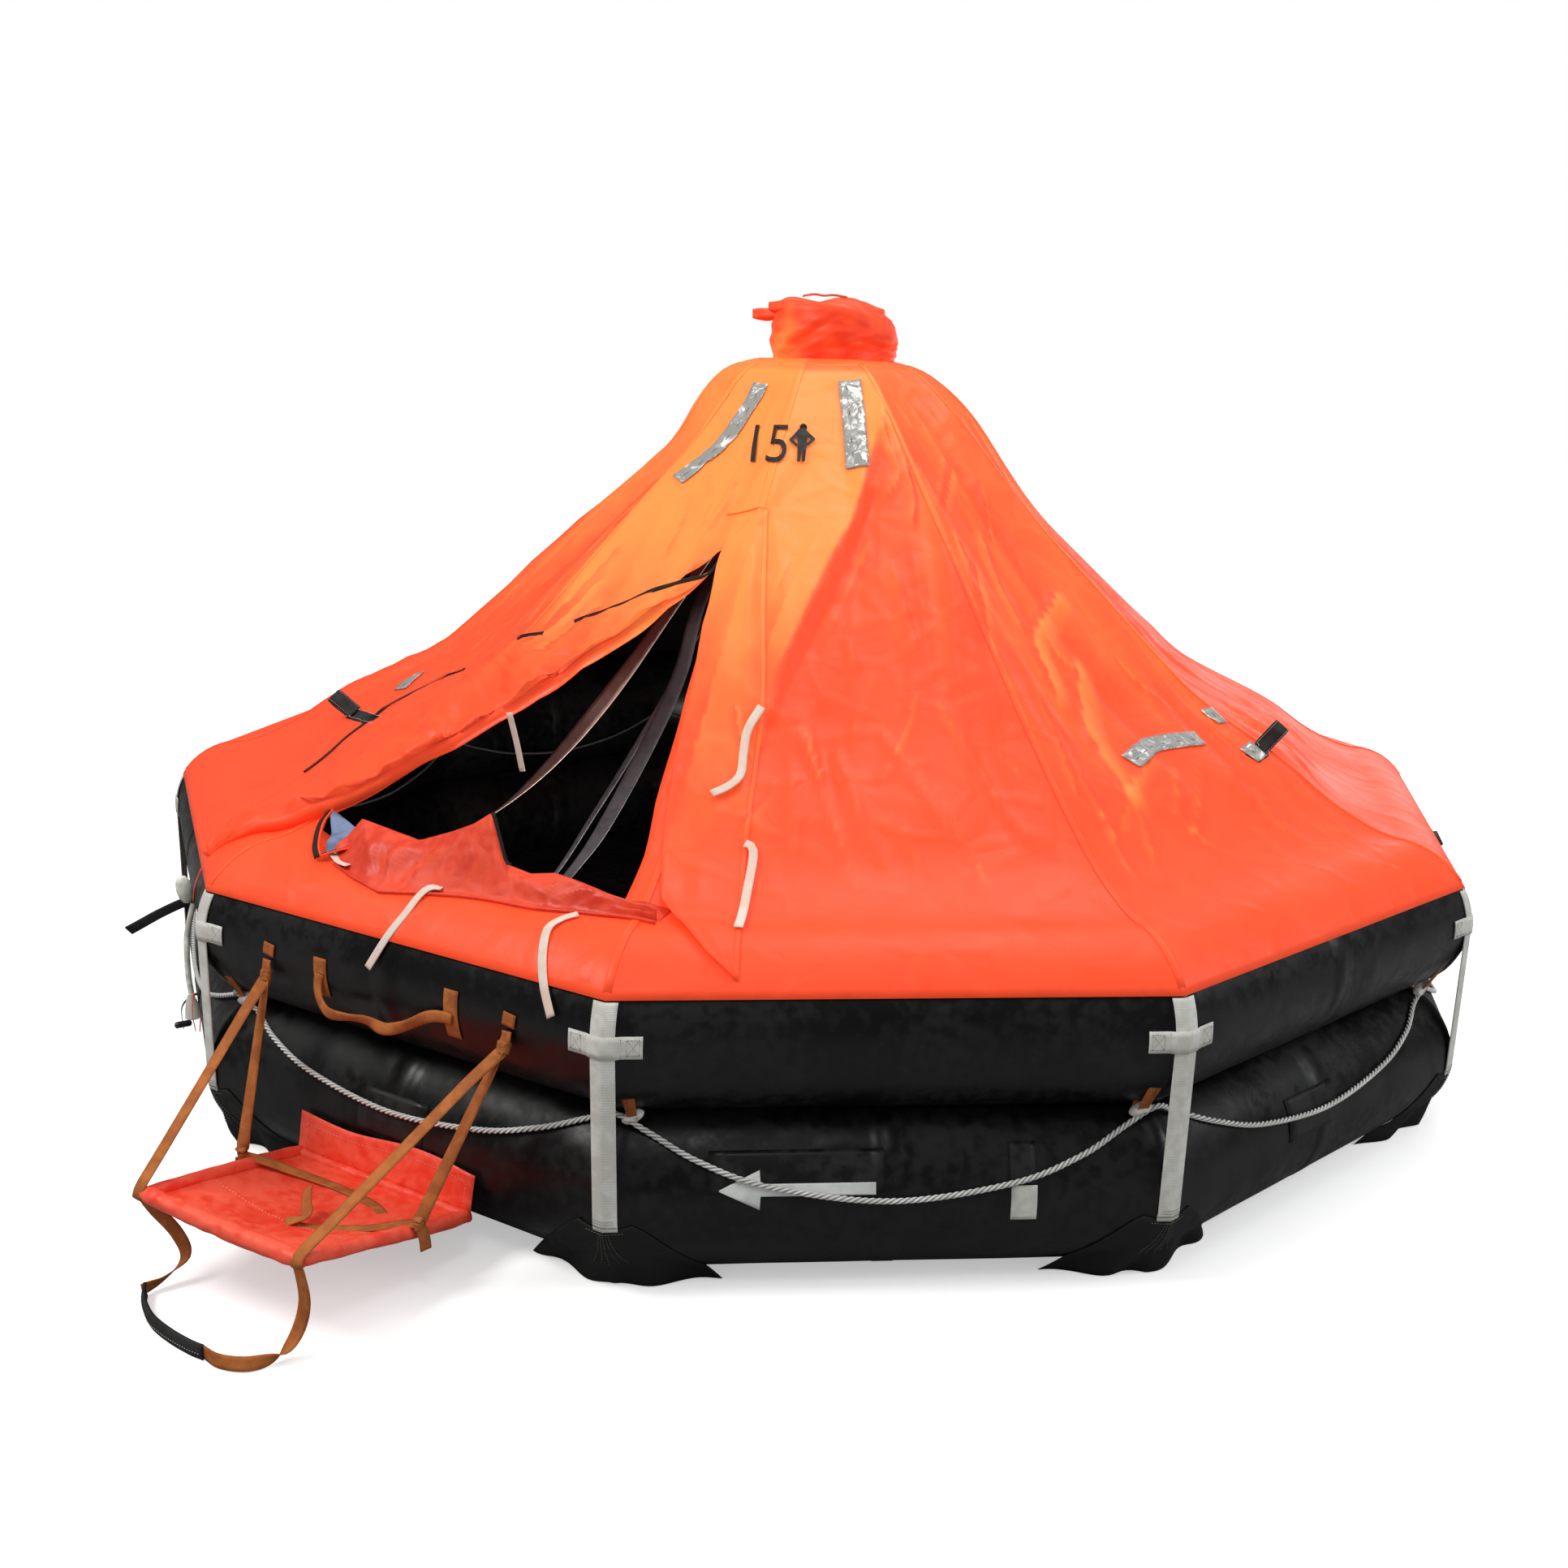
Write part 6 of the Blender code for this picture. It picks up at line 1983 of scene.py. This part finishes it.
def make_tapes():
    """Silver tapes round the peak and on the lower panels."""
    bands = [
        ("tape_front_left", [(0, 0.512, -0.104), (0, 0.462, -0.066), (0, 0.405, -0.032),
                             (0, 0.350, -0.020), (0, 0.287, -0.016)], 0.044),
        ("tape_front", [(1, 0.288, 0.034), (1, 0.380, 0.034), (1, 0.500, 0.032)], 0.056),
        ("tape_right", [(2, 1.158, -0.100), (2, 1.130, 0.000), (2, 1.128, 0.100),
                        (2, 1.136, 0.196)], 0.056),
        ("tape_right_back", [(2, 1.062, 0.318), (2, 1.108, 0.318)], 0.040),
        ("tape_right_low", [(2, 1.180, 0.310), (2, 1.222, 0.322)], 0.040),
        ("tape_left", [(9, 1.120, -0.060), (9, 1.060, -0.118)], 0.050),
        ("tape_back_left", [(7, 0.290, 0.02), (7, 0.480, 0.02)], 0.056),
        ("tape_back_right", [(4, 0.290, 0.02), (4, 0.480, 0.02)], 0.056),
        ("tape_low_back", [(7, 1.150, -0.150), (7, 1.150, 0.100)], 0.056),
        ("tape_low_far", [(4, 1.150, -0.100), (4, 1.150, 0.150)], 0.056),
    ]
    for name, places, width in bands:
        cover_band(name, places, width, REFLECTIVE, lift=0.0042, thickness=0.0006, columns=6,
                   step=0.008)


def make_cover_loop(name, side, start, end):
    """Black webbing loop: flat patch sewn to the cover, its end standing up as a loop."""
    (a0, r0), (a1, r1) = start, end
    line = [(side, a0, r0), (side, (a0 + a1) / 2, (r0 + r1) / 2), (side, a1, r1)]
    _, rows, normals = cover_band(name + "_patch", line, 0.040, BLACK_STRAP, lift=0.0030,
                                  thickness=0.0022, columns=4)
    thread = Stitches(name + "_stitching", THREAD)
    for edge in (0, 4):
        border = [row[edge].lerp(row[2], 0.16) + n * 0.0058 for row, n in zip(rows, normals)]
        thread.line(border, normals, 0.0055, 0.0042, 0.0008)
    base, normal = on_cover(side, a1, r1)
    ahead = (base - on_cover(side, a0, r0)[0]).normalized()
    wide = normal.cross(ahead).normalized()
    path = [base + normal * 0.004 - ahead * 0.010, base + ahead * 0.020 + normal * 0.014,
            base + ahead * 0.045 + normal * 0.036,
            base + ahead * 0.040 + normal * 0.058,
            base + ahead * 0.012 + normal * 0.050, base - ahead * 0.008 + normal * 0.018,
            base - ahead * 0.024 + normal * 0.006]
    rows, loop_normals = webbing_rows(path, [wide] * len(path), 0.038, 0.006)
    cloth_grid(name + "_loop", rows, BLACK_STRAP, 0.0022, "raft")
    for edge in (0, 4):
        for sign in (-1, 1):
            border = [row[edge].lerp(row[2], 0.16) + n * (0.0016 * sign)
                      for row, n in zip(rows, loop_normals)]
            thread.line(border, loop_normals, 0.0055, 0.0042, 0.0008)
    thread.finish()


SLEEVE_FOOT_Z = 1.7405
SLEEVE_TOP_Z = 1.882


def sleeve_spot(centre, right, front, turn, up):
    """Point of the peak's sleeve at a turn round it and a share of the way up and over."""
    way = right * math.cos(turn) + front * math.sin(turn)
    slump = eased((math.cos(turn) + 0.1) / 1.1)
    wall = min(up / 0.70, 1.0)
    dome = max((up - 0.70) / 0.30, 0.0)
    top = SLEEVE_TOP_Z - 0.020 * slump
    turnover = 0.020 + 0.036 * slump
    height = SLEEVE_FOOT_Z + (top - turnover - SLEEVE_FOOT_Z) * wall
    reach = 0.159 + 0.005 * eased(wall * 1.5) - 0.004 * (1 - slump) * wall
    if dome:
        angle = min(dome / 0.35, 1.0) * math.pi / 2
        height += turnover * math.sin(angle)
        reach -= turnover * (1 - math.cos(angle))
        reach *= 1 - max((dome - 0.35) / 0.65, 0) * 0.999
        height += 0.010 * noise.noise(Vector((reach * 20, turn, 4.0))) * eased(dome * 2)
    sweep = turn * 1.4 + up * 2.2
    fold = noise.noise(Vector((math.cos(sweep) * 2.2, math.sin(sweep) * 2.2, up * 1.5 + 2)))
    ring = noise.noise(Vector((math.cos(turn) * 1.8 + 5, math.sin(turn) * 1.8, up * 9)))
    pinch = 1 - abs(noise.noise(Vector((math.cos(sweep) * 3.4, math.sin(sweep) * 3.4, up * 3)))) * 3
    body = math.sin(math.pi * min(up * 1.15 + 0.08, 1.0))
    reach += (0.010 * fold + 0.005 * ring + 0.0030 * pinch) * body
    return centre + way * max(reach, 0.0001) + Vector((0, 0, height))


def make_chimney():
    """Gathered sleeve over the peak: slumped walls, folded head and a bit of drawstring."""
    centre = Vector((0.020, 0.012, 0))
    right = Vector((math.cos(CAMERA_HEADING), math.sin(CAMERA_HEADING), 0))
    front = Vector((math.sin(CAMERA_HEADING), -math.cos(CAMERA_HEADING), 0))
    around, steps = 120, 44
    rows = [[sleeve_spot(centre, right, front, 2 * math.pi * j / around, i / steps)
             for j in range(around)] for i in range(steps + 1)]
    sleeve = cloth_grid("peak_sleeve", rows, COVER, 0.0014, "raft", closed=True,
                        held="gathered", offset=-1.0)
    shade_peak(sleeve, right)
    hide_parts("chimney")
    layers = [
        ("sleeve_fold_low", -0.215, 0.020, 0.074, 1.876, 1.0),
        ("sleeve_fold_top", -0.172, 0.130, 0.092, 1.889, 0.0),
    ]
    for name, left, far, deep, z, fin in layers:
        grid = []
        for i in range(49):
            share = i / 48
            x = left + (far - left) * share
            half = deep * max(1 - (2 * share - 1) ** 4, 0.02) ** 0.5
            if fin:
                half *= 0.14 + 0.86 * eased((x + 0.195) / 0.10)
            row = []
            for j in range(21):
                w = j / 10 - 1
                wave = 0.009 * noise.noise(Vector((x * 12, w * 1.8, z * 7)))
                drop = 0.020 * eased((abs(w) - 0.55) / 0.45)
                drop += fin * 0.016 * eased((-0.10 - x) / 0.09)
                drop += (1 - fin) * 0.020 * eased((x - 0.05) / 0.08)
                drop += (1 - fin) * 0.010 * eased((-0.12 - x) / 0.05)
                spot = centre + right * x + front * (w * half + 0.010)
                spot.z = z + wave - drop + 0.005 * math.sin(x * 34 + w * 2)
                row.append(spot)
            grid.append(row)
        sheet = cloth_grid(name, grid, COVER, 0.0050, "raft", held="folded")
        shade_peak(sheet, right)
    bit = [centre + right * x + front * y + Vector((0, 0, z)) for x, y, z in
           ((-0.085, 0.060, 1.900), (-0.055, 0.050, 1.905), (-0.030, 0.060, 1.902),
            (-0.005, 0.052, 1.904), (0.030, 0.066, 1.899))]
    webbing("sleeve_tie", bit, [front + Vector((0, 0, 0.4))] * 5, 0.012, WHITE_TIE, "raft",
            step=0.004, thickness=0.0014)


def shade_peak(obj, right):
    """Daylight on the sleeve: strongest low on its left."""
    values = []
    for vertex in obj.data.vertices:
        x = vertex.co.dot(right)
        low = eased((1.87 - vertex.co.z) / 0.10)
        patch = 0.35 * noise.noise(vertex.co * 22.0)
        value = 0.75 * eased((-x - 0.01) / 0.12) * (0.35 + 0.65 * low) + patch - 0.05
        values.append(min(max(value, -0.2), 1.0))
    point_values(obj, "daylight", values)


HUB_Z = 1.690


def make_interior():
    """Sagging bridle legs and the dark straps that hang into the doorway."""
    apothem = TUBE_APOTHEM - TUBE_RADIUS * math.sin(math.radians(50))
    legs = []
    for k in range(0, SIDES, 2):
        azimuth = corner_azimuth(k)
        out, wide = outward(azimuth), along(azimuth)
        shape = [(0.03, HUB_Z), (0.25, 1.395), (0.524, 1.090), (0.704, 0.904), (0.871, 0.758),
                 (1.03, 0.660), (1.20, 0.612), (apothem / COS_HALF - 0.012, 0.628)]
        if k:
            shape = [(r, z + 0.10 * math.sin(math.pi * r / 1.4)) for r, z in shape]
        path = [out * r + Vector((0, 0, z)) for r, z in shape]
        twist = [wide, wide + Vector((0, 0, 0.3)), wide, wide - Vector((0, 0, 0.5)), wide,
                 wide + Vector((0, 0, 0.5)), wide, wide]
        legs.append(webbing("bridle_leg_%d" % k, path, twist, 0.045, PALE_STRAP, "raft",
                            step=0.02))
    deselect()
    bpy.ops.mesh.primitive_cylinder_add(vertices=32, radius=0.045, depth=0.030,
                                        location=(0, 0, HUB_Z))
    hub = bpy.context.object
    hub.name = "lifting_hub"
    hub.data.materials.append(STEEL)
    bpy.ops.object.mode_set(mode="EDIT")
    bpy.ops.mesh.select_all(action="SELECT")
    bpy.ops.mesh.bevel(offset=0.004, segments=3)
    bpy.ops.object.mode_set(mode="OBJECT")
    bpy.ops.object.transform_apply(location=True)
    bpy.ops.object.shade_smooth_by_angle(angle=math.radians(40))
    finished(hub, "raft")
    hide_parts("lifting_bridle")
    dark = [
        ("inner_strap_wide", 0.0, 0.038, [(0.02, 1.640), (0.25, 1.440), (0.547, 1.190),
                                          (0.651, 1.000), (0.770, 0.857), (0.960, 0.676),
                                          (1.090, 0.592), (1.240, 0.520), (1.306, 0.480)]),
        ("inner_strap_thin", -3.5, 0.014, [(0.02, 1.630), (0.25, 1.380), (0.50, 1.110),
                                           (0.63, 0.965), (0.80, 0.800), (0.93, 0.685),
                                           (1.06, 0.575), (1.20, 0.505), (1.305, 0.460)]),
    ]
    for name, degrees, width, shape in dark:
        azimuth = math.radians(degrees)
        out, wide = outward(azimuth), along(azimuth)
        path = [out * r + Vector((0, 0, z)) for r, z in shape]
        twist = [wide + Vector((0, 0, 0.4 * math.sin(i * 1.3))) for i in range(len(path))]
        webbing(name, path, twist, width, GREY_STRAP, "raft", step=0.02)


def make_ladder():
    """Webbing ladder at the far doorway, with padded rungs."""
    rail_path = [(0.003, 0.548), (0.003, 0.480), (0.018, 0.420), (0.020, 0.300), (0.018, 0.180),
                 (0.034, 0.090), (0.090, 0.016), (0.160, 0.0095), (0.300, 0.0088), (0.455, 0.0088)]
    face = TUBE_APOTHEM + TUBE_RADIUS
    wide = along(side_azimuth(LADDER_SIDE))
    for sign in (-1, 1):
        path = [on_side(LADDER_SIDE, face + off, sign * 0.222, z) for off, z in rail_path]
        rail = webbing("ladder_rail_%d" % sign, path, [wide] * len(path), 0.040, TAN_STRAP,
                       "raft")
    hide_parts("boarding_ladder")
    rungs = ((0.020, 0.300), (0.030, 0.112), (0.200, 0.0130), (0.430, 0.0130))
    for k, (off, z) in enumerate(rungs):
        path = [on_side(LADDER_SIDE, face + off, -0.244 + 0.488 * i / 24, z) for i in range(25)]
        soft_roll("ladder_rung_%d" % k, path, 0.0118, TAN_CLOTH, "raft",
                  rough=0.10, gather=0.1, seed=k * 2.0)


def turned_profile(name, outline, place, material, segments=40):
    """Solid of revolution about a local axis, placed by a matrix."""
    verts = []
    for h, r in outline:
        for k in range(segments):
            turn = 2 * math.pi * k / segments
            verts.append(place @ Vector((r * math.cos(turn), r * math.sin(turn), h)))
    faces = grid_faces(len(outline), segments, closed=True)
    faces.append(tuple(reversed(range(segments))))
    faces.append(tuple((len(outline) - 1) * segments + k for k in range(segments)))
    obj = mesh_object(name, verts, faces, material, "raft")
    obj.data.set_sharp_from_angle(angle=math.radians(35))
    return obj


def make_cylinder():
    """Inflation cylinder on the floor beside the lower tube, strapped to it."""
    side, radius, half = 6, 0.070, 0.250
    centres = (TUBE_RADIUS + radius) * 0.993
    rest = radius + 0.001
    apothem = TUBE_APOTHEM + math.sqrt(centres ** 2 - (LOWER_TUBE_Z - rest) ** 2)
    azimuth = side_azimuth(side)
    spot = outward(azimuth) * apothem + Vector((0, 0, rest))
    place = Matrix.Translation(spot) @ Matrix.Rotation(azimuth, 4, "Z") @ Matrix.Rotation(
        math.pi / 2, 4, "Y")
    outline = [(-half, 0.030), (-half + 0.004, 0.044), (-half + 0.016, 0.058),
               (-half + 0.034, 0.067), (-half + 0.052, radius), (half - 0.112, radius),
               (half - 0.092, 0.0675), (half - 0.074, 0.056), (half - 0.063, 0.040),
               (half - 0.056, 0.024), (half - 0.050, 0.0155), (half - 0.034, 0.0155)]
    bottle = turned_profile("gas_bottle", outline, place, CYLINDER_PAINT)
    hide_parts("gas_cylinder")
    valve = [(half - 0.036, 0.0135), (half - 0.034, 0.0150), (half - 0.014, 0.0150),
             (half - 0.010, 0.0110), (half, 0.0110), (half + 0.001, 0.0095)]
    turned_profile("gas_valve", valve, place, BRASS, 24)
    for k, shift in enumerate((-0.120, 0.080)):
        path = []
        for degrees in range(-35, 216, 12):
            turn = math.radians(degrees)
            local = Vector((-math.sin(turn) * 0.0725, -math.cos(turn) * 0.0725, shift))
            path.append(place @ local)
        webbing("bottle_strap_%d" % k, path, [along(azimuth)] * len(path), 0.038, BLACK_STRAP,
                "raft", step=0.008, thickness=0.0016)


def make_left_gear():
    """Small gear on the side left of the ramp: lamp pod, tags, blank label and straps."""
    side = 9
    pod = [(-0.034, 0.003), (-0.030, 0.010), (-0.018, 0.016), (0.0, 0.018), (0.018, 0.016),
           (0.030, 0.010), (0.034, 0.003)]
    place = Matrix.Translation(on_side(side, 1.688, 0.330, 0.545)) @ Matrix.Rotation(
        math.radians(12), 4, "X")
    turned_profile("lamp_pod", pod, place, WHITE_PLASTIC, 24)
    wide = along(side_azimuth(side))
    up = Vector((0, 0, 1))
    spots = [(1.672, 0.335, 0.512), (1.690, 0.345, 0.440), (1.694, 0.362, 0.360),
             (1.690, 0.372, 0.300)]
    soft_roll("lamp_lead_sleeve", smooth_path(side_path(side, spots), 0.006), 0.0065,
              WHITE_PLASTIC, "raft", rough=0.1)
    cone = [(0.0, 0.006), (0.012, 0.011), (0.030, 0.016), (0.052, 0.020), (0.056, 0.012)]
    place = Matrix.Translation(on_side(side, 1.694, 0.392, 0.315)) @ Matrix.Rotation(
        math.radians(170), 4, "Y")
    turned_profile("vent_cone", cone, place, WHITE_PLASTIC, 24)
    tags = [("red_tag_top", [(1.652, 0.400, 0.612), (1.668, 0.405, 0.575), (1.674, 0.408, 0.540)],
             0.014, LABEL_RED),
            ("red_tag_low", [(1.688, 0.455, 0.345), (1.694, 0.468, 0.300), (1.690, 0.476, 0.262)],
             0.024, LABEL_RED),
            ("red_tag_foot", [(1.676, 0.415, 0.268), (1.680, 0.420, 0.236)], 0.018, LABEL_RED)]
    for name, line, width, paint in tags:
        path = side_path(side, line)
        webbing(name, path, [wide] * len(path), width, paint, "raft",
                step=0.006, thickness=0.0012)
    strap = [(1.672, 0.300, 0.508), (1.700, 0.296, 0.500), (1.745, 0.285, 0.478),
             (1.790, 0.268, 0.450), (1.812, 0.258, 0.436)]
    webbing("pull_strap", side_path(side, strap), [up + wide * 0.4] * 5, 0.024,
            BLACK_STRAP, "raft", step=0.006, thickness=0.004)
    strap = [(1.668, 0.330, 0.292), (1.690, 0.312, 0.280), (1.712, 0.300, 0.250),
             (1.712, 0.304, 0.200)]
    webbing("toggle_strap", side_path(side, strap), [wide] * 4, 0.010, BLACK_STRAP,
            "raft", step=0.005, thickness=0.0016)
    toggle = [(-0.022, 0.003), (-0.018, 0.0075), (0.018, 0.0075), (0.022, 0.003)]
    place = Matrix.Translation(on_side(side, 1.712, 0.312, 0.214)) @ Matrix.Rotation(
        math.radians(80), 4, "X")
    turned_profile("toggle", toggle, place, BLACK_PLASTIC, 16)


def make_valves():
    """Topping-up valves on the tubes of the far sides."""
    for k, (side, centre_z, z, run) in enumerate(((8, UPPER_TUBE_Z, 0.600, 0.10),
                                                  (3, UPPER_TUBE_Z, 0.600, -0.12),
                                                  (8, LOWER_TUBE_Z, 0.262, -0.16),
                                                  (3, LOWER_TUBE_Z, 0.262, 0.14))):
        angle = tube_angle(centre_z, z)
        spot = on_tube(side, centre_z, angle, run)
        way = outward(side_azimuth(side)) * math.sin(angle) + Vector((0, 0, math.cos(angle)))
        place = Matrix.Translation(spot) @ way.to_track_quat("Z", "Y").to_matrix().to_4x4()
        outline = [(-0.002, 0.030), (0.002, 0.030), (0.004, 0.028), (0.004, 0.021),
                   (0.011, 0.020), (0.013, 0.018), (0.013, 0.010), (0.010, 0.009),
                   (0.010, 0.002)]
        turned_profile("tube_valve_%d" % k, outline, place, BLACK_PLASTIC, 32)


def main():
    make_camera()
    make_lifelines()
    make_stage()
    make_hull()
    make_tube_marks()
    make_cover()
    make_seams()
    make_straps()
    make_pockets()
    make_beckets()
    for side in (RAMP_SIDE, LADDER_SIDE):
        make_handle(side)
        make_doorway(side)
    make_ramp()
    make_number()
    make_figure()
    make_tapes()
    make_cover_loop("loop_left", 9, (1.205, 0.120), (1.240, -0.085))
    make_cover_loop("loop_right", 2, (1.215, 0.300), (1.190, 0.375))
    make_cover_loop("loop_back", 6, (1.205, 0.120), (1.240, -0.085))
    make_chimney()
    make_interior()
    make_ladder()
    make_cylinder()
    make_left_gear()
    make_valves()


main()
